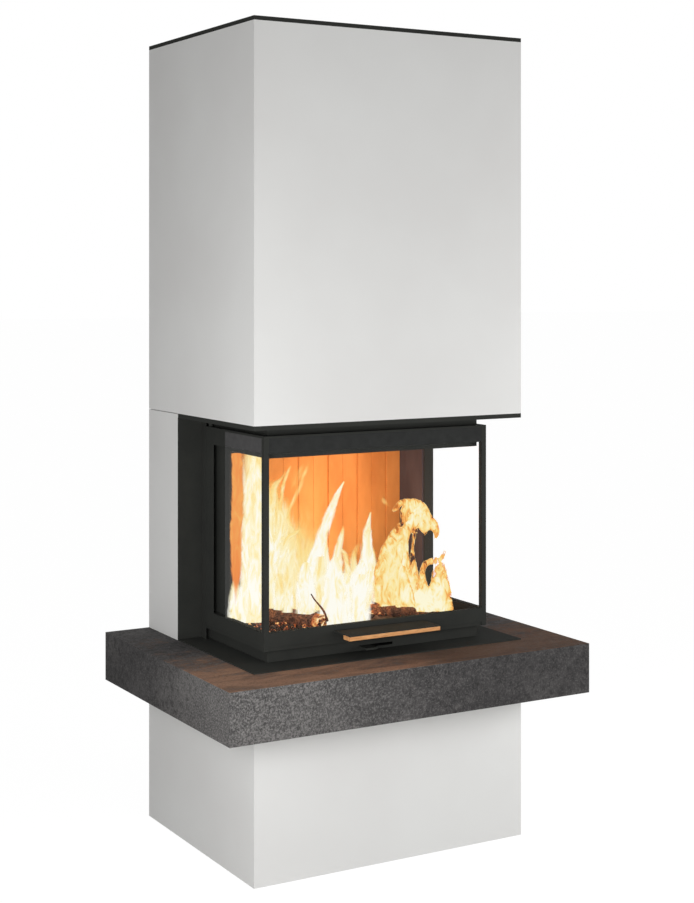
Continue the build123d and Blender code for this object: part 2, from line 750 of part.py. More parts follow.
# Pulleys: turned wheels with a rope groove, a thin web with round holes, and a hub
with BuildPart() as pulleys:
    groove_r = pulley_r - rope_r - groove_clear
    rim_r = pulley_r + pulley_flange
    groove_half = rope_r + groove_clear
    web_r = groove_r - pulley_web
    with BuildSketch(Plane.XZ.offset(-shaft_y)):
        with BuildLine():
            Polyline((rope_x - pulley_hub_width / 2, shaft_z + shaft_r + fit_clear),
                     (rope_x - pulley_hub_width / 2, shaft_z + pulley_hub_r),
                     (rope_x - pulley_web / 2, shaft_z + pulley_hub_r),
                     (rope_x - pulley_web / 2, shaft_z + web_r),
                     (rope_x - pulley_width / 2, shaft_z + web_r),
                     (rope_x - pulley_width / 2, shaft_z + rim_r),
                     (rope_x - groove_half - sheet, shaft_z + rim_r),
                     (rope_x - groove_half, shaft_z + groove_r),
                     (rope_x + groove_half, shaft_z + groove_r),
                     (rope_x + groove_half + sheet, shaft_z + rim_r),
                     (rope_x + pulley_width / 2, shaft_z + rim_r),
                     (rope_x + pulley_width / 2, shaft_z + web_r),
                     (rope_x + pulley_web / 2, shaft_z + web_r),
                     (rope_x + pulley_web / 2, shaft_z + pulley_hub_r),
                     (rope_x + pulley_hub_width / 2, shaft_z + pulley_hub_r),
                     (rope_x + pulley_hub_width / 2, shaft_z + shaft_r + fit_clear), close=True)
        make_face()
    revolve(axis=Axis((0, shaft_y, shaft_z), (1, 0, 0)))
    with BuildSketch(Plane.YZ.offset(rope_x - pulley_web)):
        with Locations((shaft_y, shaft_z)):
            with PolarLocations((web_r + pulley_hub_r) / 2, pulley_hole_count):
                Circle(pulley_hole_r)
    extrude(amount=2 * pulley_web, mode=Mode.SUBTRACT)
    mirror(about=Plane.YZ)
keep(pulleys, "pulleys")

# Steel ropes: up from the door, over the pulleys and down to the counterweight
with BuildPart() as door_ropes:
    with BuildSketch(Plane.XY.offset(rope_start_z)):
        with Locations((-rope_x, rope_front_y), (rope_x, rope_front_y)):
            Circle(rope_r)
    extrude(amount=shaft_z - rope_start_z)
keep(door_ropes, "door_ropes")

with BuildPart() as rope_wraps:
    with BuildSketch(Plane.XY.offset(shaft_z)):
        with Locations((rope_x, rope_front_y)):
            Circle(rope_r)
    revolve(axis=Axis((0, shaft_y, shaft_z), (-1, 0, 0)), revolution_arc=180)
    mirror(about=Plane.YZ)
keep(rope_wraps, "rope_wraps")

with BuildPart() as weight_ropes:
    with BuildSketch(Plane.XY.offset(weight_top + boss_height)):
        with Locations((-rope_x, rope_back_y), (rope_x, rope_back_y)):
            Circle(rope_r)
    extrude(amount=shaft_z - weight_top - boss_height)
keep(weight_ropes, "weight_ropes")

# Counterweight: a cast bar on two rods, with a boss for each rope
with BuildPart() as counterweight:
    block((-door_half, door_half),
          (rope_back_y - weight_depth / 2, rope_back_y + weight_depth / 2), (weight_z, weight_top))
    chamfer(counterweight.edges().filter_by(Axis.X), weight_depth / 10)
    with BuildSketch(Plane.XY.offset(weight_top)):
        with Locations((-rope_x, rope_back_y), (rope_x, rope_back_y)):
            Circle(lug_r)
    extrude(amount=boss_height)
    with BuildSketch(Plane.XY.offset(weight_z)):
        with Locations((-rod_x, rope_back_y), (rod_x, rope_back_y)):
            Circle(rod_r + rod_clear)
    extrude(amount=weight_height, mode=Mode.SUBTRACT)
keep(counterweight, "counterweight")

rod_low_z = weight_z - door_travel - rod_over - rod_bracket_thickness
with BuildPart() as weight_rods:
    with BuildSketch(Plane.XY.offset(rod_low_z)):
        with Locations((-rod_x, rope_back_y), (rod_x, rope_back_y)):
            Circle(rod_r)
    extrude(amount=cross_top - rod_low_z)
keep(weight_rods, "weight_rods")

with BuildPart() as rod_brackets:
    rod_end_y = rope_back_y + rod_bracket_width / 2
    for sign in sides.values():
        across = (sign * rod_x - rod_bracket_width / 2, sign * rod_x + rod_bracket_width / 2)
        block(across, (insert_back_y, rod_end_y), (rod_low_z, rod_low_z + rod_bracket_thickness))
        block(across, (insert_back_y, insert_back_y + steel), (rod_low_z - rod_bracket_width, rod_low_z))
        block(across, (tube_y + cross_tube, rod_end_y), (cross_top - rod_bracket_thickness, cross_top))
    with BuildSketch(Plane.XY.offset(rod_low_z)):
        with Locations((-rod_x, rope_back_y), (rod_x, rope_back_y)):
            Circle(rod_r + fit_clear)
    extrude(amount=cross_top - rod_low_z, mode=Mode.SUBTRACT)
keep(rod_brackets, "rod_brackets")

# Door frame: hollow bars round the front and both sides, welded to the corner posts
bottom_bar_points = [(0, door_z + rail_lip_height), (0, window_z), (frame_bar, window_z), (frame_bar, door_z),
                     (rail_lip_step, door_z), (rail_lip_step, door_z + rail_lip_height)]
top_bar_points = [(0, glass_top), (0, door_top), (frame_bar, door_top), (frame_bar, window_top),
                  (glass_thickness, window_top), (glass_thickness, glass_top)]


def bar_profile(points, to_plane, bore_z):
    """The outline of a frame bar and its bore, with the depth turned into a place by to_plane."""
    with BuildSketch() as profile:
        with BuildLine():
            Polyline(*[(to_plane(depth), z) for depth, z in points], close=True)
        make_face()
        with Locations((to_plane((glass_thickness + bar_wall + frame_bar - bar_wall) / 2),
                        (bore_z[0] + bore_z[1]) / 2)):
            Rectangle(frame_bar - glass_thickness - 2 * bar_wall, bore_z[1] - bore_z[0], mode=Mode.SUBTRACT)
    return profile.sketch


bottom_bore = (door_z + rail_lip_height + bar_wall, window_z - bar_wall)
top_bore = (window_top + bar_wall, glass_top - bar_wall)
for name, points, bore_z, full_z in (
    ("door_bottom_rail", bottom_bar_points, bottom_bore, (door_z, window_z)),
    ("door_top_rail", top_bar_points, top_bore, (window_top, glass_top)),
):
    front_bar = bar_profile(points, lambda depth: door_front_y + depth, bore_z)
    side_bar = bar_profile(points, lambda depth: door_half - depth, bore_z)
    with BuildPart() as door_rail:
        extrude(Plane.YZ.offset(-door_inner) * front_bar, amount=2 * door_inner)
        extrude(Plane.XZ.offset(-door_rear_y) * side_bar, amount=door_rear_y - door_inner_y)
        extrude(Plane.XZ.offset(-door_rear_y) * mirror(side_bar, Plane.YZ), amount=door_rear_y - door_inner_y)
        if name == "door_top_rail":
            # Behind the side glass the bar comes out to the full face again
            for sign in sides.values():
                block((sign * (door_half - glass_thickness), sign * door_half), (glass_rear_y, door_rear_y),
                      full_z)
    keep(door_rail, name)

with BuildPart() as corner_posts:
    with BuildSketch(Plane.XY.offset(door_z)):
        with Locations((door_half - frame_bar / 2, door_front_y + frame_bar / 2)):
            Rectangle(frame_bar, frame_bar)
            Rectangle(frame_bar - 2 * bar_wall, frame_bar - 2 * bar_wall, mode=Mode.SUBTRACT)
    extrude(amount=door_top - door_z)
    mirror(about=Plane.YZ)
keep(corner_posts, "corner_posts")

# Rear stiles: a square bar at the rear and a thin cover sheet that reaches forward over the casing
with BuildPart() as rear_stiles:
    block((door_half - frame_bar, door_half), (door_rear_y - frame_bar, door_rear_y), (window_z, window_top))
    block((door_half - bar_wall, door_half), (stile_front_y, door_rear_y), (window_z, window_top))
    mirror(about=Plane.YZ)
keep(rear_stiles, "rear_stiles")

# Ceramic glass, flush with the frame's outer faces, with an air gap between the side panes and the stiles
with BuildPart() as glass_front:
    block((-door_inner, door_inner), (door_front_y, door_front_y + glass_thickness), (window_z, glass_top))
keep(glass_front, "glass_front")

for side, sign in sides.items():
    with BuildPart() as glass_side:
        block((sign * (door_half - glass_thickness), sign * door_half), (door_inner_y, glass_rear_y),
              (window_z, glass_top))
    keep(glass_side, f"glass_{side}")

# Flat rope seals inside the top and bottom bars
with BuildPart() as door_seals:
    for seal_z in (window_z - seal_inset - seal_height, window_top + seal_inset):
        heights = (seal_z, seal_z + seal_height)
        block((-insert_half, insert_half), (door_inner_y, door_inner_y + seal_thickness), heights)
        for sign in sides.values():
            block((sign * (door_inner - seal_thickness), sign * door_inner),
                  (insert_front_y, door_rear_y - seal_inset), heights)
keep(door_seals, "door_seals")

# Guide shoes that run in the rails
with BuildPart() as door_guides:
    shoe_zs = (window_z + shoe_inset, door_top - shoe_inset - shoe_length)
    for shoe_z in shoe_zs:
        block((insert_half + guide_wall + shoe_clear, guide_outer - guide_wall - shoe_clear),
              (door_rear_y, guide_rear_y - guide_wall - shoe_clear), (shoe_z, shoe_z + shoe_length))
    fillet(door_guides.edges().filter_by(Axis.X).group_by(Axis.Y)[-1], guide_wall)
    mirror(about=Plane.YZ)
keep(door_guides, "door_guides")

with BuildPart() as rope_lugs:
    with BuildSketch(Plane.XY.offset(door_top)):
        with Locations((-rope_x, rope_front_y), (rope_x, rope_front_y)):
            Circle(lug_r)
    extrude(amount=lug_height)
    chamfer(rope_lugs.edges().group_by(Axis.Z)[-1], lug_r / 4)
keep(rope_lugs, "rope_lugs")

# Handle: a steel shelf folded down at the door, with a wood bar under its front edge
shelf_top = window_z - handle_plate_inset
shelf_under = shelf_top - handle_sheet
handle_front_y = door_front_y - handle_reach
handle_half = handle_length / 2
with BuildPart() as handle_plate:
    with BuildSketch(Plane.YZ.offset(-handle_half)):
        with BuildLine():
            Polyline((handle_front_y, shelf_top), (door_front_y, shelf_top),
                     (door_front_y, shelf_under - handle_drop),
                     (door_front_y - handle_sheet, shelf_under - handle_drop),
                     (door_front_y - handle_sheet, shelf_under), (handle_front_y, shelf_under), close=True)
        make_face()
    extrude(amount=handle_length)
keep(handle_plate, "handle_plate")

with BuildPart() as handle_grip:
    block((-handle_half, handle_half), (handle_front_y, handle_front_y + grip_depth),
          (shelf_under - grip_height, shelf_under))
    fillet(handle_grip.edges().filter_by(Axis.X).group_by(Axis.Z)[0], grip_round)
keep(handle_grip, "handle_grip")
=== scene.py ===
# %% [markdown]
# # A fireplace kit with a three-sided glass door
#
# The real object is a tall white surround round a black steel insert. A wide stone-look bench runs
# round it at knee height, and a wood fire burns behind glass on three sides. The CAD model already
# gives every rigid part in its true place, so this script dresses it: it finishes each surface and
# adds what a CAD model is poor at, which is fire, embers, bark, braided seal and stranded rope.
# Everything is in metres. X runs to the viewer's right, Y towards the wall and Z up.

# %% Load the CAD frame
import json
import math

import bmesh
import bpy
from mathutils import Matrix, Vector, noise


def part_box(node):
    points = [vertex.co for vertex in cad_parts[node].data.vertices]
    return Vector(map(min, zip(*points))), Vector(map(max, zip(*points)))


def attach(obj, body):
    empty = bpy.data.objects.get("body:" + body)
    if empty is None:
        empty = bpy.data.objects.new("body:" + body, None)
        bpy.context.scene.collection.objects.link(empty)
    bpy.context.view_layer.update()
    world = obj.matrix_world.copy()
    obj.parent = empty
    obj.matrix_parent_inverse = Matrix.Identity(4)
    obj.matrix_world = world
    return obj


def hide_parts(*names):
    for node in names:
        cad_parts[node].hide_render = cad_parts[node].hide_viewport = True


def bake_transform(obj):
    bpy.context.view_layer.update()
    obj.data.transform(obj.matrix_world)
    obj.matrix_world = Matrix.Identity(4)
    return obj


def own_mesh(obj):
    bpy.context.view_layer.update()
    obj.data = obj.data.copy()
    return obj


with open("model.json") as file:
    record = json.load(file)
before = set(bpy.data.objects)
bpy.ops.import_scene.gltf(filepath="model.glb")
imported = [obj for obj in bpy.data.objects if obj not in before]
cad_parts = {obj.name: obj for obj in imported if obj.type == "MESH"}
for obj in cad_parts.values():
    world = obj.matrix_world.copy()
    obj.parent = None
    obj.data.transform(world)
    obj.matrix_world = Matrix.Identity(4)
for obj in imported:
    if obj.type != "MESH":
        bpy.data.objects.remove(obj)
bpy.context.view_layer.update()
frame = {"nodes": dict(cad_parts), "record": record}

# %% [markdown]
# ## The camera
#
# The viewing angle was worked out from the straight edges of the surround. All its uprights are
# vertical in the picture, so the camera is level, and the picture is framed by a lens shift instead
# of a tilt. A level camera keeps uprights upright, which is how buildings are photographed.

# %% Camera
def added(name, data):
    made = bpy.data.objects.new(name, data)
    bpy.context.scene.collection.objects.link(made)
    return made


LONG_SIDE_PX = 903
FOCAL_PX = 1677.5
HORIZON_PX = 277
SENSOR_MM = 36.0

camera_data = bpy.data.cameras.new("camera")
camera_data.sensor_width = SENSOR_MM
camera_data.lens = FOCAL_PX * SENSOR_MM / LONG_SIDE_PX
camera_data.shift_y = -(LONG_SIDE_PX / 2 - HORIZON_PX) / LONG_SIDE_PX
camera = added("camera", camera_data)
camera.location = (-2.5309, -4.4075, 1.6806)
camera.rotation_euler = (math.radians(90), 0, math.radians(-29.983))
bpy.context.scene.camera = camera
bpy.context.scene.view_settings.view_transform = "Standard"
print("lens", round(camera_data.lens, 2), "mm, shift", round(camera_data.shift_y, 4))

# %% [markdown]
# ## Small tools for node trees
#
# Shaders and Geometry Nodes are both trees of nodes. Each cell opens its own and calls it `tree`, and
# the tools work in that one. `put` adds a node, finds the family that its full name starts with, and
# fills its sockets: it links an output that it is given, and types in any other value. `one` does the
# same and gives back the node's first output. `reckon` and `times` do sums. `tint` turns a colour as
# it looks on a screen, from 0 to 255, into the linear numbers that shaders work with.

# %% Node tools
def emptied(owner):
    owner.use_nodes = True
    owner.node_tree.nodes.clear()
    return owner.node_tree


def put(kind, settings=None, **sockets):
    family = next(f for f in ("ShaderNode", "GeometryNode", "FunctionNode") if hasattr(bpy.types, f + kind))
    made = tree.nodes.new(family + kind)
    for name, value in (settings or {}).items():
        setattr(made, name, value)
    for name, value in sockets.items():
        socket = next(s for s in made.inputs
                      if s.enabled and name in (s.identifier, s.name.replace(" ", "_")))
        if isinstance(value, bpy.types.NodeSocket):
            tree.links.new(value, socket)
        else:
            socket.default_value = value
    return made


def one(kind, settings=None, **sockets):
    return put(kind, settings, **sockets).outputs[0]


def reckon(operation, *values):
    sockets = dict(zip(("Value", "Value_001", "Value_002"), values))
    return one("Math", {"operation": operation}, **sockets)


def times(first, second, plus=None):
    if plus is None:
        return reckon("MULTIPLY", first, second)
    return reckon("MULTIPLY_ADD", first, second, plus)


def tint(red, green, blue):
    def linear(value):
        value /= 255
        return value / 12.92 if value <= 0.04045 else ((value + 0.055) / 1.055) ** 2.4
    return (linear(red), linear(green), linear(blue), 1.0)

# %% [markdown]
# ## The room's light
#
# A room lights such a white block softly from all sides, and a window or lamp in front makes its
# front brighter than its side. The world gives the even part. One large lamp stands low in front, so
# the hood darkens a little towards its top, and a weaker one near the front left corner fades
# along the left side. To the camera, to gloss and through glass the world is plain white.

# %% World and lamps
EVEN_LIGHT = 0.366

world = bpy.data.worlds.new("room")
tree = emptied(world)
rays = put("LightPath").outputs
direct = reckon("MAXIMUM", rays["Is Camera Ray"], rays["Is Transmission Ray"])
direct = reckon("MAXIMUM", direct, rays["Is Glossy Ray"])
even = one("Background", Color=(1, 1, 1, 1), Strength=EVEN_LIGHT)
white = one("Background", Color=(1, 1, 1, 1), Strength=1.0)
put("OutputWorld", Surface=one("MixShader", Fac=direct, Shader=even, Shader_001=white))
bpy.context.scene.world = world


def soft_lamp(name, spot, target, size, watts, colour=(1, 1, 1), spread=180):
    data = bpy.data.lights.new(name, "AREA")
    data.shape = "DISK"
    data.size = size
    data.energy = watts
    data.color = colour
    data.spread = math.radians(spread)
    lamp = added(name, data)
    lamp.location = spot
    lamp.rotation_euler = (Vector(target) - Vector(spot)).to_track_quat("-Z", "Y").to_euler()
    lamp.visible_camera = lamp.visible_glossy = lamp.visible_transmission = False


soft_lamp("front_lamp", (2.395, -1.6, 1.0), (0.1, -0.3, 1.1), size=1.4, watts=46)
soft_lamp("corner_lamp", (-1.874, -1.721, 0.961), (-0.4, -0.2, 1.0), size=1.2, watts=33)

# %% [markdown]
# ## The floor
#
# The floor is a wide plain sheet, so pale that it runs into the white room, and it still takes the
# soft shadow under the plinth. To the camera it partly glows, which keeps the shadow faint.

# %% Floor
FLOOR_REACH = 60.0
FLOOR_GLOW, GLOW_SHARE = 1.17, 0.82


def sheet(low, high, z):
    return [(low[0], low[1], z), (high[0], low[1], z), (high[0], high[1], z), (low[0], high[1], z)]


floor_finish = bpy.data.materials.new("pale_floor")
tree = emptied(floor_finish)
share = times(put("LightPath").outputs["Is Camera Ray"], GLOW_SHARE)
matt = one("BsdfDiffuse", Color=(0.5, 0.5, 0.5, 1))
glow = one("Emission", Color=(1, 1, 1, 1), Strength=FLOOR_GLOW)
put("OutputMaterial", Surface=one("MixShader", Fac=share, Shader=matt, Shader_001=glow))
floor_mesh = bpy.data.meshes.new("floor")
floor_mesh.from_pydata(sheet((-FLOOR_REACH, -FLOOR_REACH), (FLOOR_REACH, FLOOR_REACH), 0), [], [(0, 1, 2, 3)])
floor_mesh.materials.append(floor_finish)
floor = added("floor", floor_mesh)
print("floor:", 2 * FLOOR_REACH, "m wide")

# %% [markdown]
# ## Pattern tools
#
# No finish here uses a picture. Each is worked out from the point's own place on the object, so it
# stays put when a part moves or is seen from the other side. `place` stretches the object's
# coordinates, `cloud` is fractal noise on them, `shades` turns a number into colours (each stop is a
# position and a screen colour), `between` fades from 0 to 1 over a range, `over` lays one more colour
# where a pattern is strong, and `stored` reads a number that the mesh carries. `finish` starts a
# material, `feed` links patterns into its shader, and `relief` makes a height into dents and bumps.

# %% Pattern tools
finishes = {}


def place(scale=(1, 1, 1), shift=(0, 0, 0)):
    where = put("TexCoord").outputs["Object"]
    return one("Mapping", Vector=where, Scale=scale, Location=shift)


def part_of(axis):
    where = put("TexCoord").outputs["Object"]
    return put("SeparateXYZ", Vector=where).outputs[axis]


def cloud(scale, stretch=(1, 1, 1), shift=(0, 0, 0), detail=4.0, roughness=0.5, distortion=0.0, where=None):
    return put("TexNoise", Vector=where or place(stretch, shift), Scale=scale, Detail=detail,
               Roughness=roughness, Distortion=distortion).outputs["Fac"]


def shades(factor, *stops):
    ramp = put("ValToRGB", Fac=factor)
    elements = ramp.color_ramp.elements
    while len(elements) < len(stops):
        elements.new(0.5)
    for element, (position, *colour) in zip(elements, stops):
        element.position = position
        element.color = tint(*colour)
    return ramp.outputs["Color"]


def mixed(factor, first, second):
    return put("Mix", {"data_type": "RGBA"}, Factor=factor, A=first, B=second).outputs["Result"]


def stored(name):
    return put("Attribute", {"attribute_name": name}).outputs["Fac"]


def between(value, low, high, first=0.0, last=1.0):
    return one("MapRange", {"interpolation_type": "SMOOTHSTEP"}, Value=value,
               From_Min=low, From_Max=high, To_Min=first, To_Max=last)


def over(under, pattern, low, high, colour, amount=1.0):
    return mixed(between(pattern, low, high, 0.0, amount), under, tint(*colour))


def relief(height, millimetres, strength=1.0):
    feed(shader, Normal=one("Bump", Height=height, Distance=millimetres / 1000, Strength=strength))


def finish(name, roughness=0.5, metallic=0.0, specular=0.5):
    made = finishes[name] = bpy.data.materials.new(name)
    made.use_nodes = True
    shader = made.node_tree.nodes["Principled BSDF"]
    for socket, value in (("Roughness", roughness), ("Metallic", metallic), ("Specular IOR Level", specular)):
        shader.inputs[socket].default_value = value
    return made.node_tree, shader


def feed(node, **sources):
    for name, source in sources.items():
        tree.links.new(source, node.inputs[name.replace("_", " ")])


# %% [markdown]
# ## White render
#
# The surround's boards are skimmed with fine render and painted. It is nearly even, but a trowel
# leaves very soft waves, the grain catches side light, and the paint varies by a shade. One wide
# cloud gives the shade, and two finer ones give the waves and the grain.

# %% White render
tree, shader = finish("white_render", roughness=0.9, specular=0.15)
wide = cloud(2.2, detail=3)
feed(shader, Base_Color=shades(wide, (0.3, 226, 225, 223), (0.7, 232, 232, 230)))
waves = cloud(12, (1, 1, 0.6), detail=2)
grain = cloud(600, detail=2, roughness=0.7)
relief(times(waves, 3.0, plus=grain), 0.1)

# %% [markdown]
# ## Black stove paint
#
# Steel that gets hot is sprayed with a matt silicone paint. It is charcoal rather than black, it has
# a fine pebbled grain, and dust dulls it in clouds. Roughness follows the clouds, so broad faces
# have some life without looking shiny.

# %% Black stove paint
tree, shader = finish("black_steel", roughness=0.8, specular=0.03)
dust = cloud(9, detail=5, roughness=0.6)
grain = cloud(1400, detail=2)
paint = shades(dust, (0.3, 50, 51, 49), (0.75, 57, 58, 55))
paint = over(paint, grain, 0.55, 0.75, (65, 66, 63))
feed(shader, Base_Color=paint, Roughness=between(dust, 0.3, 0.8, 0.74, 0.9))
relief(grain, 0.05, 0.6)

# %% [markdown]
# ## Plain steel
#
# The parts inside the surround are not painted: rolled plate, turned shafts and zinc-grey tube.
# They carry fine rolling lines, a faint blue-brown stain from heat, and small rub marks.

# %% Plain steel
tree, shader = finish("bare_steel", roughness=0.4, metallic=1.0)
lines = cloud(900, (1, 1, 0.03), detail=2)
stain = cloud(7, detail=5, roughness=0.65)
metal = shades(stain, (0.3, 150, 151, 154), (0.55, 172, 172, 173), (0.75, 160, 152, 142))
rubbed = between(cloud(90, (1, 1, 3), detail=3), 0.62, 0.72)
feed(shader, Base_Color=mixed(rubbed, metal, tint(196, 197, 198)),
     Roughness=between(lines, 0.3, 0.7, 0.32, 0.5))
relief(lines, 0.03, 0.5)

# %% [markdown]
# ## Raw casting
#
# The grate and the counterweight are cast iron. Sand leaves a pebbled skin, and ash and rust dust
# settle in it, so the colour wanders between blue-black and a warm grey.

# %% Raw casting
tree, shader = finish("cast_iron", roughness=0.7, metallic=0.6, specular=0.3)
sand = cloud(420, detail=4, roughness=0.6)
dirt = cloud(28, detail=5, roughness=0.6)
feed(shader, Base_Color=shades(dirt, (0.3, 58, 59, 61), (0.6, 82, 79, 76), (0.8, 104, 92, 82)))
relief(sand, 0.5)

# %% [markdown]
# ## Turned brass
#
# The shaft runs in brass bushes and the door slides on brass shoes. Turning leaves fine rings, and
# handling leaves brown tarnish away from the rubbed spots.

# %% Turned brass
tree, shader = finish("bearing_brass", roughness=0.3, metallic=1.0)
rings = cloud(500, (6, 1, 1), detail=1)
tarnish = cloud(60, detail=4)
feed(shader, Base_Color=shades(tarnish, (0.35, 203, 176, 122), (0.7, 160, 126, 76)),
     Roughness=between(tarnish, 0.3, 0.7, 0.24, 0.42))
relief(rings, 0.03, 0.5)

# %% [markdown]
# ## Light concrete
#
# The bench's core is aerated concrete: pale grey, sawn flat and full of small round pores. A
# Voronoi pattern gives the pores, which are the dark middles of its cells.

# %% Light concrete
tree, shader = finish("light_concrete", roughness=0.95, specular=0.1)
cells = put("TexVoronoi", Vector=place(), Scale=260.0).outputs["Distance"]
pores = between(cells, 0.12, 0.42)
cast = shades(cloud(12, detail=4), (0.3, 190, 189, 185), (0.7, 208, 207, 203))
feed(shader, Base_Color=mixed(pores, tint(150, 149, 146), cast))
relief(pores, 0.6)

# %% [markdown]
# ## Rusted-stone ceramic
#
# The bench is clad in ceramic slabs printed and glazed like oxidised metal. The faces are a mottled
# dark grey with pale blooms and fine specks. Painted light makes them palest at the front left
# corner, and painted shade darkens the grey towards the right and the back. The top has long rusty
# streaks that run along the bench, strongest along the front and grey towards the back left, and
# painted shade darkens the rust at the right. The grey comes from three sizes of noise. The rust is
# stretched noise, let through only on the top by its height.

# %% Rusted-stone ceramic
BENCH_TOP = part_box("bench_top")[1].z
TOP_SKIN = (0.0009, 0.0003)

tree, shader = finish("bench_ceramic", roughness=0.8, specular=0.12)
across = part_of("X")
back = part_of("Y")
bloom = cloud(3.6, (1, 1, 1.3), detail=6, roughness=0.62)
blotch = cloud(52, shift=(3, 1, 0), detail=7, roughness=0.74, distortion=0.5)
speck = cloud(190, detail=4, roughness=0.7)
grey = shades(bloom, (0.34, 68, 67, 67), (0.5, 83, 81, 81), (0.68, 104, 102, 101))
grey = over(grey, blotch, 0.5, 0.6, (54, 53, 53), 0.65)
grey = over(grey, blotch, 0.46, 0.34, (118, 115, 113), 0.5)
# Painted light: the front left corner is painted paler, and its specks stronger.
corner = times(between(across, 0.1, -0.5), between(back, 0.0, -0.43))
grey = mixed(times(corner, 0.35), grey, tint(132, 130, 128))
sharp = times(corner, 0.35, plus=0.3)
grey = mixed(times(between(speck, 0.5, 0.6), sharp), grey, tint(52, 51, 51))
grey = mixed(times(between(speck, 0.48, 0.38), sharp), grey, tint(146, 143, 141))
# Painted shade: the grey darkens towards the right and the back.
painted_shade = reckon("MAXIMUM", between(across, -0.15, 0.4), between(back, -0.2, 0.3))
grey = mixed(times(painted_shade, 0.45), grey, tint(50, 49, 49))
streak = cloud(3.4, (1.6, 4.5, 1), detail=7, roughness=0.66, distortion=0.8)
fine = cloud(8, (14, 34, 1), detail=6, roughness=0.7, distortion=0.5)
rust = shades(streak, (0.35, 120, 95, 80), (0.55, 152, 119, 99), (0.72, 166, 131, 107))
rust = over(rust, fine, 0.5, 0.64, (70, 61, 57), 0.55)
# Painted shade: the rust darkens towards the right.
rust = over(rust, across, -0.08, 0.15, (68, 55, 48), 0.75)
rusty = times(streak, 1.6, plus=times(fine, 0.7))
rusty = times(reckon("SUBTRACT", blotch, 0.5), 1.2, plus=rusty)
front_edge = between(back, 0.25, -0.4, -0.5, 0.3)
rusty = between(reckon("ADD", rusty, front_edge), 0.75, 1.4)
upward = between(part_of("Z"), *(BENCH_TOP - depth for depth in TOP_SKIN))
feed(shader, Base_Color=mixed(times(rusty, upward), grey, rust),
     Roughness=between(blotch, 0.3, 0.7, 0.72, 0.92))
relief(times(blotch, 2.0, plus=speck), 0.18)

# %% [markdown]
# ## Fireclay
#
# The firebox is lined with pressed fireclay plates. New plates are orange-buff and sandy. Behind a
# fire they get paler where flames lick them, in clouds drawn upwards by the draught. The cheeks
# are painted dark grey as painted shade, since the fire's light falls mostly on the back wall. Ash
# trodden into the floor makes it grey-brown.

# %% Fireclay
CHEEK_FACE = 0.3172
HEARTH_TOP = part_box("hearth_bricks")[1].z
SHARP = 0.001

tree, shader = finish("fireclay", roughness=0.9, specular=0.1)
drawn = cloud(9, (1, 1, 0.35), detail=5, roughness=0.6)
sand = cloud(520, detail=3, roughness=0.7)
clay = shades(drawn, (0.3, 188, 132, 76), (0.5, 205, 150, 88), (0.75, 216, 166, 104))
clay = over(clay, sand, 0.58, 0.7, (150, 98, 56), 0.5)
# Painted shade: the cheeks, which face sideways, are painted dark.
painted_cheek_shade = shades(drawn, (0.3, 66, 63, 69), (0.7, 90, 86, 92))
sideways = reckon("ABSOLUTE", part_of("X"))
clay = mixed(between(sideways, CHEEK_FACE, CHEEK_FACE + SHARP), clay, painted_cheek_shade)
trodden = shades(drawn, (0.3, 52, 42, 38), (0.5, 84, 68, 60), (0.7, 112, 94, 84))
on_floor = between(part_of("Z"), HEARTH_TOP + 2 * SHARP, HEARTH_TOP + SHARP)
feed(shader, Base_Color=mixed(on_floor, clay, trodden))
relief(times(drawn, 3.0, plus=sand), 0.25)

# %% [markdown]
# ## Stove glass
#
# The panes are clear glass ceramic with a band of black enamel fired on along the top edge, which
# hides the frame and the glue. Clear glass is see-through with a weak mirror on it, stronger where
# it is seen at a slant and on the side panes. That is simpler and cleaner here than bending light
# through a 4 mm sheet. The enamel is glossy black, and on the side panes it is painted grey as a
# painted reflection of the bright room. A faint haze of fly ash dulls the mirror.

# %% Stove glass
ENAMEL_DOWN_TO = 1.184
ENAMEL_FADE = 0.0006
FRONT_MIRROR, SIDE_MIRROR = 0.5, 1.3
SIDE_PANES_FROM = 0.369

tree, enamel = finish("door_glass", roughness=0.22)
at_side = between(reckon("ABSOLUTE", part_of("X")), SIDE_PANES_FROM, SIDE_PANES_FROM + SHARP)
smear = cloud(40)
black = shades(smear, (0.3, 38, 39, 38), (0.7, 46, 47, 46))
# Painted reflection: the enamel on the side panes is painted grey.
painted_reflection_grey = shades(smear, (0.3, 66, 65, 65), (0.7, 74, 73, 73))
feed(enamel, Base_Color=mixed(at_side, black, painted_reflection_grey))
inked = between(part_of("Z"), ENAMEL_DOWN_TO - ENAMEL_FADE, ENAMEL_DOWN_TO + ENAMEL_FADE)
haze = between(cloud(30, detail=5), 0.35, 0.8, 0.02, 0.12)
outside = reckon("SUBTRACT", 1.0, put("NewGeometry").outputs["Backfacing"])
shine = times(one("Fresnel", IOR=1.45), outside)
shine = times(shine, between(at_side, 0.0, 1.0, FRONT_MIRROR, SIDE_MIRROR))
mirror = put("BsdfAnisotropic")
feed(mirror, Roughness=haze, Color=shades(shine, (0.0, 0, 0, 0), (1.0, 255, 255, 255)))
clear = one("BsdfTransparent", Color=(1, 1, 1, 1))
pane = one("AddShader", Shader=clear, Shader_001=mirror.outputs[0])
whole = one("MixShader", Fac=inked, Shader=pane, Shader_001=enamel.outputs[0])
feed(tree.nodes["Material Output"], Surface=whole)

# %% [markdown]
# ## Oiled wood
#
# The door's grip is a bar of light hardwood. Its grain runs along the bar, with thin dark pores and
# slow bands of colour, and oil makes it warm. Stretching the noise along X draws out the grain.

# %% Oiled wood
tree, shader = finish("grip_wood", roughness=0.45, specular=0.4)
bands = cloud(4, (2.5, 45, 45), detail=4, distortion=0.6)
pores = cloud(5, (8, 260, 260), detail=3)
wood = shades(bands, (0.3, 206, 140, 88), (0.5, 228, 168, 112), (0.72, 240, 186, 130))
feed(shader, Base_Color=over(wood, pores, 0.56, 0.66, (128, 78, 42), 0.7),
     Roughness=between(bands, 0.3, 0.7, 0.38, 0.55))
relief(pores, 0.15, 0.5)

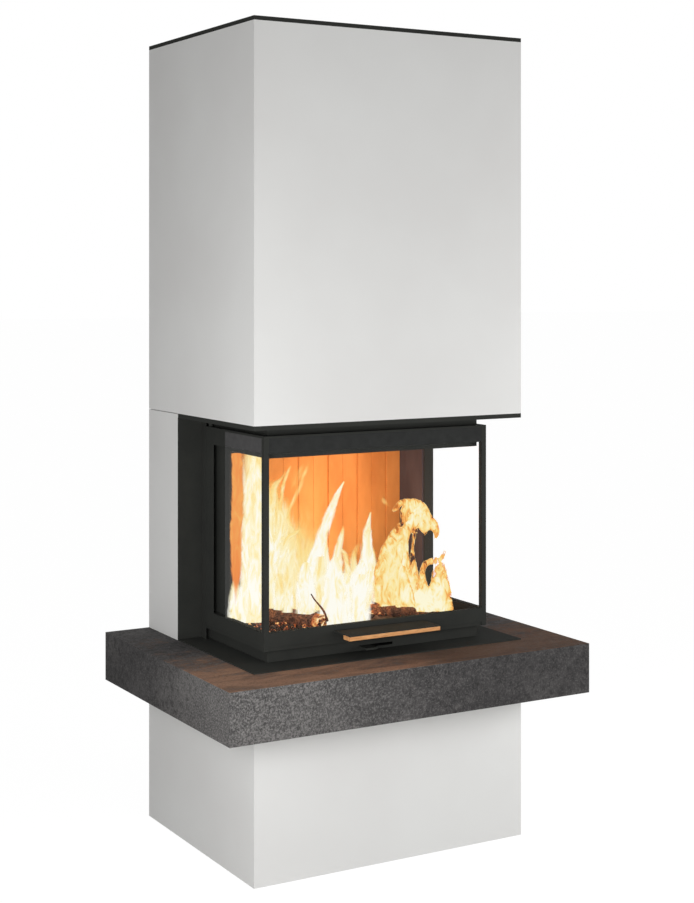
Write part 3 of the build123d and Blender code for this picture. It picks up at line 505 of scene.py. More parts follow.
# %% [markdown]
# ## Braided seal and wire rope
#
# The door closes on a flat braid of dark glass fibre, and it hangs on two thin steel ropes. Both
# follow a path, so their patterns read two numbers that the path stores on the mesh: `run`, the
# distance along, and `round_it`, the share of the way round. Together they draw the braid's
# chevrons, and grease and wear on the rope.

# %% Braid and wire
tree, shader = finish("seal_rope", roughness=0.9, specular=0.1)
run = stored("run")
turn = stored("round_it")
folded = reckon("PINGPONG", times(turn, 8.0), 1.0)
chevron = reckon("FRACT", times(run, 260.0, plus=folded))
strand = between(reckon("PINGPONG", chevron, 0.5), 0.05, 0.4)
fibre = cloud(900, detail=2)
dark = mixed(strand, tint(28, 28, 29), tint(74, 74, 75))
feed(shader, Base_Color=over(dark, fibre, 0.5, 0.7, (104, 104, 104), 0.5))
relief(times(strand, 2.0, plus=fibre), 0.4)

tree, shader = finish("rope_wire", roughness=0.35, metallic=1.0)
run = stored("run")
wires = reckon("PINGPONG", times(run, 900.0), 1.0)
grease = cloud(45, detail=4)
feed(shader, Base_Color=shades(grease, (0.35, 186, 186, 188), (0.65, 146, 142, 136)),
     Roughness=between(grease, 0.3, 0.7, 0.3, 0.5))
relief(wires, 0.05, 0.6)

# %% [markdown]
# ## Burning wood
#
# Burning bark turns to black scales with grey ash on their edges, and the wood glows in the cracks
# between them. Voronoi cells make the scales, and the distance to a cell's edge finds the cracks.
# The mesh stores `glow`, from 0 on cool bark to 1 at a burning end, so only hot places shine.

# %% Burning wood
tree, shader = finish("log_bark", roughness=0.85, specular=0.2)
glow = stored("glow")
warped = put("TexNoise", Vector=place(), Scale=60.0, Detail=3.0).outputs["Color"]
bent = mixed(0.02, place(), warped)
scales = one("TexVoronoi", {"feature": "DISTANCE_TO_EDGE"}, Vector=bent, Scale=115.0)
fibres = cloud(240, detail=4, roughness=0.7)
patches = cloud(60, detail=6, roughness=0.7)
bark = shades(patches, (0.3, 78, 56, 49), (0.45, 124, 89, 75), (0.6, 168, 108, 78), (0.75, 184, 146, 122))
bark = over(bark, fibres, 0.52, 0.66, (54, 42, 38), 0.6)
bark = over(bark, scales, 0.04, 0.0, (24, 17, 15))
char = mixed(between(scales, 0.02, 0.2), tint(120, 112, 106), tint(30, 26, 25))
bark = mixed(between(glow, 0.35, 0.8), bark, char)
broken = between(patches, 0.36, 0.56)
cracked = times(times(between(scales, 0.24, 0.02), between(glow, 0.15, 0.75)), broken)
licked = times(between(patches, 0.42, 0.56), between(glow, 0.3, 0.75))
hot = reckon("MAXIMUM", cracked, licked)
ember = shades(hot, (0.0, 120, 30, 8), (0.45, 236, 112, 44), (0.8, 252, 196, 112), (1.0, 254, 236, 190))
feed(shader, Base_Color=bark, Emission_Color=ember, Emission_Strength=hot)
relief(times(between(scales, 0.0, 0.12), 2.0, plus=fibres), 1.0)

# %% [markdown]
# ## Embers and ash
#
# Under the logs lies a bed of ash with charcoal on it. Ash is soft, dusty and brown-grey. Charcoal
# is black with a grey bloom, and glows from inside through gaps in that bloom.

# %% Embers and ash
tree, shader = finish("ash", roughness=1.0, specular=0.05)
heap = cloud(40, detail=6, roughness=0.65)
crumb = cloud(420, detail=3, roughness=0.7)
dust = shades(heap, (0.3, 72, 56, 48), (0.55, 112, 92, 82), (0.8, 160, 146, 136))
feed(shader, Base_Color=over(dust, crumb, 0.55, 0.7, (54, 49, 46)))
relief(times(heap, 2.0, plus=crumb), 1.2)

tree, shader = finish("charcoal", roughness=0.8, specular=0.25)
bloom = cloud(150, detail=4, roughness=0.6)
pit = cloud(70, shift=(1, 0, 0), detail=4, roughness=0.6)
coal = shades(bloom, (0.35, 40, 30, 27), (0.55, 84, 66, 57), (0.75, 146, 122, 108))
heat = between(pit, 0.5, 0.68)
ember = shades(heat, (0.0, 90, 20, 6), (0.5, 232, 96, 34), (1.0, 254, 206, 130))
feed(shader, Base_Color=coal, Emission_Color=ember, Emission_Strength=heat)
relief(bloom, 1.0)

# %% [markdown]
# ## Flame
#
# A flame is hot gas that glows: nearly white in the thick middle, yellow towards the edge and orange
# in the thin fringe, with streaks along the way it rises. It is drawn by mixing light with
# transparency. The mesh stores `core`, from 0 at the edge to 1 in the middle, `side` and `run`, the
# distances across and along the flame in metres, `power`, and `kind`, which numbers the tongues so
# that each has streaks of its own. `edge` says what the fringe is like: 0 fades out pale among other
# flames, 1 ends in an orange rim, and 2 is orange all through: a painted glow, a sheet in front of
# the left cheek that paints the fire's light on its face.

# %% Flame
SHEETS_IN_A_ROW = 48

flame = finishes["flame"] = bpy.data.materials.new("flame")
tree = emptied(flame)
side, core, run, power, edge, kind = map(stored, ("side", "core", "run", "power", "edge", "kind"))
# Painted light: edge 2 marks the orange glow sheet in front of the left cheek.
painted_glow_sheet = between(edge, 1.4, 1.6)
rimmed = reckon("SUBTRACT", between(edge, 0.4, 0.6), painted_glow_sheet)
flow = one("CombineXYZ", X=times(side, 62.0), Y=times(run, 15.0), Z=times(kind, 0.7))
inside = cloud(1.0, where=flow, detail=5, roughness=0.58, distortion=1.2)
outer = cloud(46.0, (1, 1, 0.45), detail=4, roughness=0.55, distortion=1.6)
streaks = times(reckon("SUBTRACT", one("Mix", Factor=rimmed, A=inside, B=outer), 0.5), 2.1)
heat = times(times(core, 0.8, plus=streaks), power)
soft = between(times(times(streaks, 0.5, plus=core), power), 0.04, 0.8)
solid = one("Mix", Factor=rimmed, A=soft, B=between(heat, 0.03, 0.2))
hue = times(times(streaks, 0.75, plus=0.74), power)
hue = times(hue, times(painted_glow_sheet, -0.91, plus=1.0))
pale = shades(hue, (0.05, 234, 132, 62), (0.2, 246, 190, 102), (0.36, 250, 222, 144),
              (0.6, 252, 241, 196), (0.85, 253, 251, 240))
rim = shades(heat, (0.03, 222, 92, 36), (0.12, 238, 142, 66), (0.26, 246, 196, 108),
             (0.44, 250, 229, 158), (0.75, 252, 246, 214))
light = one("Emission", Color=mixed(rimmed, pale, rim), Strength=1.0)
air = one("BsdfTransparent")
put("OutputMaterial", Surface=one("MixShader", Fac=solid, Shader=air, Shader_001=light))
flame.cycles.emission_sampling = "NONE"
bpy.context.scene.cycles.transparent_max_bounces = SHEETS_IN_A_ROW
print("finishes:", ", ".join(finishes))

# %% [markdown]
# ## Dress the CAD parts
#
# The record names a finish slot for every CAD part, and each finish above has its slot's name, so a
# short loop paints all of them. Only the materials change. The shapes are the CAD model's own.

# %% Paint the CAD nodes
painted = {}
for part in frame["record"]["subparts"]:
    node, name = frame["nodes"][part["node"]], part["material_slot"]
    node.data.materials.clear()
    node.data.materials.append(finishes[name])
    painted[name] = painted.get(name, 0) + 1
print(painted)

# %% [markdown]
# ## Tools for grown pieces
#
# Fire, seal, ropes, embers and screws are made by Geometry Nodes, because each is a rule applied
# along a path or over a surface. `recipe` starts such a tree with named sizes. `grown` gives it a
# guide mesh, runs it once and keeps the result as a plain mesh, so nothing is left to work out
# later. `keep` stores a number on the points for the shader or a later step to `read`. `traced` turns
# the guide's edges into a curve of even steps, `swept` draws a section along it, and `pushed` lets
# noise shift a surface.

# %% Geometry Nodes tools
def recipe(name, **sizes):
    tree = bpy.data.node_groups.new(name, "GeometryNodeTree")
    tree.interface.new_socket("Geometry", in_out="INPUT", socket_type="NodeSocketGeometry")
    for size, value in sizes.items():
        kind = "NodeSocketInt" if isinstance(value, int) else "NodeSocketFloat"
        tree.interface.new_socket(size, in_out="INPUT", socket_type=kind).default_value = value
    tree.interface.new_socket("Geometry", in_out="OUTPUT", socket_type="NodeSocketGeometry")
    return tree, tree.nodes.new("NodeGroupInput").outputs


def served(geometry, name, smooth=False):
    if smooth:
        geometry = one("SetShadeSmooth", Geometry=geometry)
    real = one("RealizeInstances", Geometry=geometry)
    coated = one("SetMaterial", Geometry=real, Material=finishes[name])
    tree.links.new(coated, tree.nodes.new("NodeGroupOutput").inputs[0])


def keep(geometry, name, value):
    return one("StoreNamedAttribute", Geometry=geometry, Name=name, Value=value)


def read(name):
    return put("InputNamedAttribute", Name=name).outputs["Attribute"]


def vector(operation, first, **second):
    return one("VectorMath", {"operation": operation}, Vector=first, **second)


def traced(given, bent=False, corner=None):
    line = one("MeshToCurve", Mesh=given["Geometry"])
    if bent:
        line = one("CurveSplineType", {"spline_type": "CATMULL_ROM"}, Curve=line)
    if corner:
        line = one("FilletCurve", {"mode": "POLY"}, Curve=line, Radius=corner, Count=6)
    return one("ResampleCurve", {"mode": "LENGTH"}, Curve=line, Length=given["Step"])


def circle(points):
    return one("CurvePrimitiveCircle", Resolution=points, Radius=1.0)


def swept(line, section, **more):
    return one("CurveToMesh", Curve=line, Profile_Curve=section, Fill_Caps=True, **more)


def pushed(geometry, amount, **pattern):
    push = put("TexNoise", **pattern).outputs["Color"]
    push = vector("SCALE", vector("SUBTRACT", push, Vector_001=(0.5, 0.5, 0.5)), Scale=amount)
    return one("SetPosition", Geometry=geometry, Offset=push)


def grown(name, tree, points, edges=(), faces=(), numbers=None, **sizes):
    guide = points
    if not isinstance(points, bpy.types.Mesh):
        guide = bpy.data.meshes.new(name + "_guide")
        guide.from_pydata(points, edges, faces)
    for number, values in (numbers or {}).items():
        guide.attributes.new(number, "FLOAT", "POINT").data.foreach_set("value", values)
    holder = added(name + "_guide", guide)
    modifier = holder.modifiers.new("recipe", "NODES")
    modifier.node_group = tree
    for size, value in sizes.items():
        socket = next(s for s in tree.interface.items_tree if s.name == size and s.in_out == "INPUT")
        modifier[socket.identifier] = value
    made = bpy.data.meshes.new_from_object(holder.evaluated_get(bpy.context.evaluated_depsgraph_get()))
    bpy.data.objects.remove(holder)
    made.name = name
    piece = added(name, made)
    print(name, "faces:", len(made.polygons), "size:", [round(v, 3) for v in piece.dimensions])
    return piece


def path_through(*runs):
    points, edges = [], []
    for run in runs:
        edges += [(len(points) + i, len(points) + i + 1) for i in range(len(run) - 1)]
        points += run
    return points, edges


# %% [markdown]
# ## The flames
#
# Each tongue is a line of points that rises from the logs, with a half width and a power at each
# point. The recipe smooths the line, sweeps a flat lens along it, facing the front left where the
# fire is mostly seen from, and then lets noise push it about, more towards the tip, as a draught
# does. The tongues keep under the baffle plate and inside the steel walls.

# %% Flame recipe
FLAME_FACING = (-0.5, -0.866, 0.0)
CORE_FALL, FOOT_DRIFT = 1.3, 0.3

tree, given = recipe("flame_recipe", Step=0.008, Flatness=0.42, Drift=0.012, Fringe=0.005)
line = traced(given, bent=True)
where = put("SplineParameter")
line = keep(line, "along", where.outputs["Factor"])
line = keep(line, "run", where.outputs["Length"])
line = one("SetCurveNormal", {"mode": "FREE"}, Curve=line, Normal=FLAME_FACING)
lens = circle(20)
spot = one("InputPosition")
across = put("SeparateXYZ", Vector=spot).outputs["Y"]
lens = keep(lens, "across", across)
inner = reckon("SUBTRACT", 1.0, times(across, across))
lens = keep(lens, "core", reckon("POWER", reckon("MAXIMUM", inner, 0.0), CORE_FALL))
squeeze = one("CombineXYZ", X=given["Flatness"], Y=1.0, Z=1.0)
lens = one("SetPosition", Geometry=lens, Position=vector("MULTIPLY", spot, Vector_001=squeeze))
tongue = swept(line, lens, Scale=read("width"))
tongue = keep(tongue, "side", times(read("across"), read("width")))
for pattern, amount in ((6.0, "Drift"), (21.0, "Fringe")):
    reach = times(reckon("ADD", read("along"), FOOT_DRIFT), given[amount])
    tongue = pushed(tongue, reach, Scale=pattern, Detail=1.0)
served(tongue, "flame", smooth=True)
flame_recipe = tree

# %% [markdown]
# The flames at the right end stand free against the dark wall and the bright room, so their outline
# matters. A second recipe melts those tongues into one skin: it turns them into a volume and back
# into a mesh, roughens it, and copies the numbers over from the nearest tongue. How thick the skin
# is, measured by a ray straight through it, tells how near a point is to the outline.

# %% Flame skin recipe
tree, given = recipe("flame_skin_recipe", Voxel=0.0032, Thick=0.02, Ragged=0.007, Shortest_ray=0.0005)
source = given["Geometry"]
solid_fire = one("MeshToVolume", {"resolution_mode": "VOXEL_SIZE"}, Mesh=source, Density=1.0,
                 Voxel_Size=given["Voxel"], Interior_Band_Width=0.01)
skin = one("VolumeToMesh", {"resolution_mode": "VOXEL_SIZE"}, Volume=solid_fire,
           Voxel_Size=given["Voxel"], Threshold=0.1)
spot = one("InputPosition")
eased = one("BlurAttribute", {"data_type": "FLOAT_VECTOR"}, Value=spot, Iterations=3)
skin = one("SetPosition", Geometry=skin, Position=eased)
drawn_out = vector("MULTIPLY", spot, Vector_001=(1, 1, 0.4))
skin = pushed(skin, given["Ragged"], Vector=drawn_out, Scale=75.0, Detail=2.0)
for name in ("side", "run", "power", "kind", "edge"):
    near = put("SampleNearestSurface", Mesh=source, Value=read(name))
    skin = keep(skin, name, near.outputs["Value"])
facing = put("VectorMath", {"operation": "DOT_PRODUCT"}, Vector=FLAME_FACING,
             Vector_001=one("InputNormal")).outputs["Value"]
inward = vector("SCALE", [-f for f in FLAME_FACING], Scale=reckon("SIGN", facing))
start = vector("ADD", spot, Vector_001=vector("SCALE", inward, Scale=given["Shortest_ray"]))
ray = put("Raycast", Target_Geometry=skin, Source_Position=start, Ray_Direction=inward,
          Ray_Length=0.3)
thick = reckon("MINIMUM", reckon("DIVIDE", ray.outputs["Hit Distance"], given["Thick"]), 1.0)
skin = keep(skin, "core", thick)
served(skin, "flame", smooth=True)
flame_skin_recipe = tree

# %% Flame tongues
# Each tongue starts with its edge and its y, then each point is x, z and half width in millimetres, and
# power in per cent.
TONGUES = (
    (0, 30, (-306, 662, 34, 90), (-308, 724, 29, 105), (-298, 777, 30, 100), (-296, 849, 31, 92),
     (-295, 921, 31, 88), (-294, 994, 30, 84), (-292, 1066, 30, 80), (-290, 1131, 29, 72),
     (-289, 1153, 27, 60)),
    (0, 0, (-299, 666, 22, 85), (-301, 746, 22, 95), (-295, 835, 22, 90), (-293, 925, 21, 92),
     (-290, 1015, 19, 88), (-290, 1087, 17, 84), (-289, 1145, 14, 70)),
    (0, 44, (-345, 671, 18, 85), (-345, 707, 16, 105), (-345, 743, 14, 95), (-342, 771, 10, 60),
     (-337, 793, 4, 35)),
    # Painted light: this edge-2 tongue is a tall orange sheet before the left cheek's face, standing for the
    # fire's light on it.
    (2, 36, (-347, 715, 3, 20), (-345, 760, 8, 50), (-343, 805, 15, 100), (-343, 924, 17, 150),
     (-343, 1158, 17, 150)),
    (0, 30, (-114, 700, 32, 56), (-118, 775, 34, 52), (-121, 858, 34, 44), (-125, 930, 32, 34),
     (-128, 990, 28, 22), (-131, 1032, 24, 10)),
    (0, 60, (-47, 703, 24, 56), (-54, 788, 27, 50), (-60, 873, 27, 36), (-71, 946, 24, 20),
     (-80, 995, 18, 8)),
    (0, -84, (-132, 700, 15, 66), (-132, 747, 17, 72), (-130, 805, 16, 80), (-127, 857, 10, 74)),
    (0, -100, (-15, 654, 35, 104), (-15, 703, 36, 112), (-8, 756, 32, 112), (-1, 796, 20, 100)),
    (0, -100, (-79, 656, 29, 104), (-82, 710, 32, 114), (-86, 763, 30, 110), (-92, 804, 18, 96)),
    (1, -138, (244, 668, 22, 70), (241, 709, 21, 74), (239, 739, 16, 80), (244, 768, 8, 74),
     (249, 798, 7, 70), (252, 813, 5, 60)),
    (1, -100, (103, 692, 28, 60), (99, 740, 25, 50), (103, 787, 24, 58), (117, 833, 22, 60),
     (138, 879, 18, 62), (155, 920, 14, 66)),
    (1, -112, (151, 686, 25, 64), (148, 725, 22, 70), (141, 774, 16, 66), (137, 810, 11, 60)),
    (0, 20, (-230, 699, 27, 75), (-230, 772, 29, 80), (-228, 845, 31, 78), (-228, 918, 31, 74),
     (-226, 983, 29, 66), (-228, 1027, 25, 52), (-230, 1063, 20, 38), (-232, 1077, 15, 20)),
    (0, 40, (-176, 680, 29, 74), (-176, 764, 33, 76), (-178, 838, 33, 72), (-180, 897, 31, 66),
     (-180, 948, 28, 56), (-178, 992, 22, 42), (-176, 1021, 15, 24)),
    (0, 50, (-129, 673, 30, 70), (-129, 751, 33, 70), (-131, 814, 33, 62), (-129, 869, 31, 54),
     (-125, 909, 28, 40), (-118, 942, 22, 26), (-112, 971, 15, 12)),
    (0, 60, (-81, 655, 30, 70), (-81, 734, 32, 66), (-81, 808, 30, 54), (-77, 864, 28, 40),
     (-71, 900, 22, 28), (-64, 937, 15, 12)),
    (0, -70, (-283, 724, 12, 90), (-282, 791, 12, 95), (-279, 841, 13, 100), (-271, 883, 11, 92),
     (-254, 932, 9, 76), (-250, 981, 7, 58), (-258, 1014, 5, 44), (-251, 1046, 5, 52), (-242, 1081, 5, 56),
     (-227, 1112, 4, 50), (-216, 1131, 3, 30)),
    (0, -78, (-291, 726, 9, 84), (-290, 829, 9, 92), (-289, 935, 9, 88), (-288, 1013, 9, 74),
     (-281, 1063, 9, 56), (-267, 1085, 7, 52), (-253, 1098, 4, 46), (-239, 1117, 3, 24)),
    (0, -40, (-214, 694, 14, 86), (-212, 762, 13, 84), (-206, 823, 12, 74), (-198, 880, 10, 66),
     (-200, 931, 8, 62), (-212, 960, 6, 56), (-210, 989, 5, 44), (-196, 1017, 5, 44), (-177, 1048, 6, 46),
     (-163, 1080, 6, 42), (-151, 1108, 5, 38), (-140, 1131, 3, 16)),
    (0, -30, (-193, 1030, 8, 16), (-184, 1066, 11, 26), (-172, 1094, 12, 30), (-158, 1115, 9, 28),
     (-147, 1131, 4, 12)),
    (0, -60, (-253, 708, 13, 84), (-249, 769, 12, 82), (-251, 823, 10, 76), (-237, 872, 9, 84),
     (-225, 914, 8, 70), (-200, 926, 6, 54), (-180, 939, 3, 26)),
    (0, -70, (-173, 691, 22, 100), (-169, 745, 22, 104), (-162, 798, 20, 104), (-144, 840, 17, 102),
     (-123, 885, 14, 100), (-113, 921, 14, 96), (-98, 960, 13, 92), (-77, 1002, 10, 92), (-62, 1033, 7, 90),
     (-50, 1053, 4, 84), (-39, 1067, 2, 60)),
    (0, -66, (-105, 692, 18, 100), (-97, 737, 18, 100), (-96, 792, 12, 96), (-99, 846, 9, 84),
     (-103, 890, 8, 70), (-105, 920, 5, 50)),
    (0, -60, (-60, 726, 27, 100), (-57, 786, 21, 92), (-56, 832, 14, 84), (-53, 868, 10, 80),
     (-46, 898, 8, 74), (-40, 922, 5, 60), (-37, 937, 2, 30)),
    (0, -56, (-16, 721, 18, 96), (-17, 773, 12, 84), (-19, 813, 8, 76), (-26, 847, 7, 62), (-35, 863, 5, 52),
     (-44, 873, 2, 24)),
    (0, -50, (12, 732, 18, 90), (11, 779, 14, 78), (5, 819, 10, 64), (9, 849, 8, 52), (18, 870, 6, 32),
     (25, 885, 2, 14)),
    (0, -70, (22, 704, 28, 104), (26, 759, 26, 104), (33, 801, 21, 104), (40, 837, 17, 102),
     (42, 874, 15, 98), (41, 905, 12, 94), (45, 932, 8, 90), (49, 953, 4, 84), (52, 972, 2, 50)),
    (0, -60, (62, 714, 12, 90), (64, 766, 11, 80), (67, 812, 9, 70), (69, 846, 6, 56), (71, 867, 2, 24)),
    (0, -92, (-181, 700, 17, 84), (-177, 722, 22, 104), (-179, 767, 22, 112), (-182, 814, 16, 108),
     (-179, 846, 6, 84)),
    (0, -98, (-94, 655, 33, 112), (-98, 696, 33, 118), (-96, 743, 31, 116), (-94, 786, 25, 112),
     (-90, 829, 16, 104), (-86, 857, 5, 80)),
    (0, -102, (-74, 659, 30, 112), (-70, 700, 30, 120), (-63, 742, 29, 118), (-57, 784, 21, 112),
     (-53, 807, 6, 88)),
    (0, -98, (-19, 655, 27, 108), (-16, 697, 29, 116), (-12, 743, 29, 118), (-5, 784, 23, 112),
     (2, 817, 12, 100), (5, 835, 4, 80)),
    (0, -84, (15, 655, 14, 62), (23, 694, 15, 86), (35, 727, 15, 96), (40, 766, 13, 92), (42, 796, 6, 70)),
    (1, -84, (81, 701, 23, 64), (83, 737, 23, 62), (85, 777, 22, 60), (92, 817, 18, 58), (103, 856, 15, 62),
     (116, 889, 13, 70), (130, 915, 10, 72), (143, 939, 5, 60)),
    (1, -90, (121, 693, 23, 70), (121, 735, 23, 56), (119, 772, 23, 50), (121, 806, 22, 64),
     (128, 839, 17, 52), (135, 869, 14, 54), (141, 900, 11, 64), (146, 924, 7, 60)),
    (1, -96, (164, 682, 25, 70), (164, 726, 23, 78), (163, 769, 20, 84), (155, 810, 17, 88),
     (151, 850, 15, 88), (152, 887, 14, 88), (164, 917, 14, 84), (181, 941, 19, 78), (201, 949, 20, 72),
     (216, 932, 17, 72), (225, 910, 12, 66), (229, 888, 2, 40)),
    (1, -104, (196, 674, 15, 66), (196, 718, 14, 72), (194, 761, 11, 74), (188, 802, 9, 74),
     (182, 837, 7, 70), (182, 874, 6, 72), (186, 904, 7, 76), (190, 932, 9, 70), (196, 959, 6, 50)),
    (1, -108, (124, 925, 6, 40), (146, 945, 9, 60), (150, 969, 14, 66), (168, 986, 18, 74),
     (193, 984, 18, 78), (215, 965, 17, 78), (232, 939, 16, 76), (250, 922, 16, 74), (263, 905, 11, 72),
     (263, 890, 7, 70), (261, 876, 2, 50)),
    (1, -112, (180, 997, 9, 62), (154, 1003, 9, 64), (133, 999, 9, 60), (115, 988, 8, 58), (105, 979, 6, 56),
     (102, 972, 2, 40)),
    (0, -100, (108, 989, 3, 20), (96, 996, 4, 30), (86, 1003, 6, 40), (80, 1011, 6, 38), (76, 1021, 2, 20)),
    (1, -130, (209, 668, 22, 88), (207, 712, 19, 104), (201, 749, 15, 96), (201, 777, 10, 80),
     (204, 802, 9, 76), (220, 817, 9, 72), (242, 820, 9, 74), (261, 822, 8, 74), (273, 831, 7, 72),
     (280, 845, 5, 66), (280, 860, 2, 50)),
    (1, -140, (272, 665, 24, 62), (269, 707, 20, 70), (265, 748, 19, 78), (265, 779, 14, 80),
     (266, 801, 10, 76), (265, 816, 6, 70)),
    (1, -136, (238, 670, 20, 72), (238, 707, 19, 80), (243, 737, 15, 98), (240, 765, 9, 84),
     (239, 784, 6, 72), (240, 797, 2, 56)),
)
WIDER = {0: 1.45, 1: 1.32, 2: 1.15}


def tongues(name, rimmed):
    runs, numbers = [], {"width": [], "power": [], "edge": [], "kind": []}
    for kind, (edge, y, *stations) in enumerate(TONGUES):
        if (edge == 1) == rimmed:
            runs.append([(x / 1000, y / 1000, z / 1000) for x, z, _, _ in stations])
            for _, _, width, power in stations:
                for number, value in zip(numbers, (width / 1000 * WIDER[edge], power / 100, edge, kind)):
                    numbers[number].append(float(value))
    points, edges = path_through(*runs)
    return grown(name, flame_recipe, points, edges, numbers=numbers)


inner_flames = tongues("inner_flames", False)
loose = tongues("loose_tongues", True)
end_flames = grown("end_flames", flame_skin_recipe, loose.data)
bpy.data.objects.remove(loose)
for piece in (inner_flames, end_flames):
    piece.visible_shadow = False
    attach(piece, "grate")
    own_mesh(piece)

# %% [markdown]
# ## The logs
#
# Two split logs lie on the grate, flat side down. A log is a loft: the split section, smoothed, is
# repeated along its length, and noise cuts grooves that run with the bark. Past each end the section
# closes in three steps on the log's heart, and noise leaves that end rough. Both end faces glow, and
# one end of each log burns for 5 cm of its length. Mesh code suits this better than sculpting,
# because the same rule makes every log.

# %% Logs
SPLIT_SECTION = ((0, -0.8), (0, 0), (0, 0.85), (0.75, 1), (1.4, 0.7), (1.85, 0.05), (1.5, -0.65), (0.7, -1))
LOG_SIZES = ((0.0, 0.9), (0.45, 1.0), (1.0, 0.82))
LOG_SIZE = 0.026
CLOSING = (1.0, 0.72, 0.38, 0.0)
HEART = 0.85
END_DEPTH, HOT_LENGTH = 0.012, 0.05
# How often each noise repeats across and along, its share of the seed, and its depth
BARK_NOISE = ((3, 14, 1, 0.05), (6, 70, 3, 0.035), (1, 30, -1, 0.05))
BARK_REACH, BARK_LOSS = 2.2, 0.02
END_NOISE, END_SINK = 4, 0.2
HOT_NOISE, HOT_SPREAD = 60, 0.5


def rough(x, y, z):
    return noise.noise(Vector((x, y, z)))


def rounded(corners, share):
    count = len(corners)
    at = share * count
    first = int(at)
    t = at - first
    a, b, c, d = (Vector(corners[(first + i) % count]) for i in (-1, 0, 1, 2))
    return 0.5 * (2 * b + (c - a) * t + (2 * a - 5 * b + 4 * c - d) * t * t
                  + (3 * b - a - 3 * c + d) * t ** 3)


def graded(stops, share):
    for (at, value), (after, following) in zip(stops, stops[1:]):
        if share <= after:
            return value + (following - value) * (share - at) / (after - at)
    return stops[-1][1]


def log(name, start, end, base, size, seed, hot_ends, rings=72, sides=44):
    start, end = Vector((*start, base)), Vector((*end, base))
    way = end - start
    side = Vector((way.y, -way.x, 0)).normalized()
    length = way.length
    points, glow, faces = [], [], []
    beyond = len(CLOSING) - 1
    for ring in range(-beyond, rings + beyond + 1):
        share = min(max(ring / rings, 0), 1)
        closing = CLOSING[max(-ring, ring - rings, 0)]
        grade = graded(LOG_SIZES, share) * size
        for step in range(sides):
            up, out = rounded(SPLIT_SECTION, step / sides)
            up = max(up, 0)
            x, y, z = up * BARK_REACH, out * BARK_REACH, share * length
            swell = 1
            for across, along, part, depth in BARK_NOISE:
                swell += depth * rough(x * across, y * across, z * along + seed * part)
            swell -= BARK_LOSS
            height = (up * swell if closing == 1 else HEART + (up - HEART) * closing) * grade
            dent = rough(up * END_NOISE, out * END_NOISE, ring + seed) + END_SINK
            inward = (1 - closing) * END_DEPTH * dent
            at = start + way * share + side * out * swell * grade * closing
            at += way.normalized() * (inward if share < 0.5 else -inward)
            at.z = base + max(height, 0)
            points.append(at)
            from_end = min(share if hot_ends[0] else 1, 1 - share if hot_ends[1] else 1) * length
            hot = 1 - from_end / HOT_LENGTH + HOT_SPREAD * rough(*(at * HOT_NOISE))
            glow.append(min(max(hot if closing == 1 else 1.0, 0), 1))
    for ring in range(rings + 2 * beyond):
        for step in range(sides):
            near, far = ring * sides, (ring + 1) * sides
            after = (step + 1) % sides
            faces.append((near + step, near + after, far + after, far + step))
    mesh = tidied(name, points, faces, {"glow": glow}, "log_bark")
    print(name, "length", round(length, 3), "faces", len(mesh.polygons))
    return added(name, mesh)


def tidied(name, points, faces, numbers, finish_name, gap=1e-5):
    mesh = bpy.data.meshes.new(name)
    mesh.from_pydata(points, [], faces)
    for number, values in numbers.items():
        mesh.attributes.new(number, "FLOAT", "POINT").data.foreach_set("value", values)
    shape = bmesh.new()
    shape.from_mesh(mesh)
    bmesh.ops.remove_doubles(shape, verts=shape.verts, dist=gap)
    bmesh.ops.recalc_face_normals(shape, faces=shape.faces)
    for face in shape.faces:
        face.smooth = True
    shape.to_mesh(mesh)
    shape.free()
    mesh.materials.append(finishes[finish_name])
    return mesh


GRATE_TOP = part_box("grate")[1].z
for name, ends, seed, hot in (("log_left", ((-0.2475, 0.067), (-0.1343, -0.117)), 3.1, (False, True)),
                              ("log_right", ((0.0495, -0.0296), (0.2439, -0.1124)), 8.4, (True, False))):
    piece = log("burning_" + name, *ends, GRATE_TOP, LOG_SIZE, seed, hot)
    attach(piece, "grate")
    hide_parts(name)

# %% [markdown]
# ## The bed of ash and charcoal
#
# A fire this size leaves a low heap of ash on the grate with charcoal strewn over it. The heap is a
# closed skin whose height comes from noise. Geometry Nodes scatter lumps of charcoal on it, each
# turned and sized by its own random number with a fixed seed, so the bed is the same on every run.

# %% Ash heap
low_corner, high_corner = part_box("grate")
ACROSS_CELLS, DEEP_CELLS = 56, 48
HEAP_HEIGHT, HEAP_RIM, HEAP_INSET, HEAP_GAP = 0.017, 0.0006, 0.004, 0.0003
HEAP_ROUND, HEAP_MEAN, HEAP_LEAST = 0.6, 0.75, 0.1
HEAP_NOISE = ((26, 2, 0.9), (80, 5, 0.35))
points, faces = [], []
for layer in (0, 1):
    for row in range(DEEP_CELLS + 1):
        for column in range(ACROSS_CELLS + 1):
            u, v = column / ACROSS_CELLS, row / DEEP_CELLS
            x = low_corner.x + HEAP_INSET + (high_corner.x - low_corner.x - 2 * HEAP_INSET) * u
            y = low_corner.y + HEAP_INSET + (high_corner.y - low_corner.y - 2 * HEAP_INSET) * v
            rise = (math.sin(math.pi * u) * math.sin(math.pi * v)) ** HEAP_ROUND
            lumpy = HEAP_MEAN
            for often, z, depth in HEAP_NOISE:
                lumpy += depth * rough(x * often, y * often, z)
            rise *= max(lumpy, HEAP_LEAST)
            points.append((x, y, GRATE_TOP + HEAP_GAP + layer * (HEAP_RIM + HEAP_HEIGHT * rise)))
wide = ACROSS_CELLS + 1
upper = wide * (DEEP_CELLS + 1)
for row in range(DEEP_CELLS):
    for column in range(ACROSS_CELLS):
        corner = row * wide + column
        cell = (corner, corner + 1, corner + wide + 1, corner + wide)
        faces += [tuple(upper + c for c in cell), cell[::-1]]
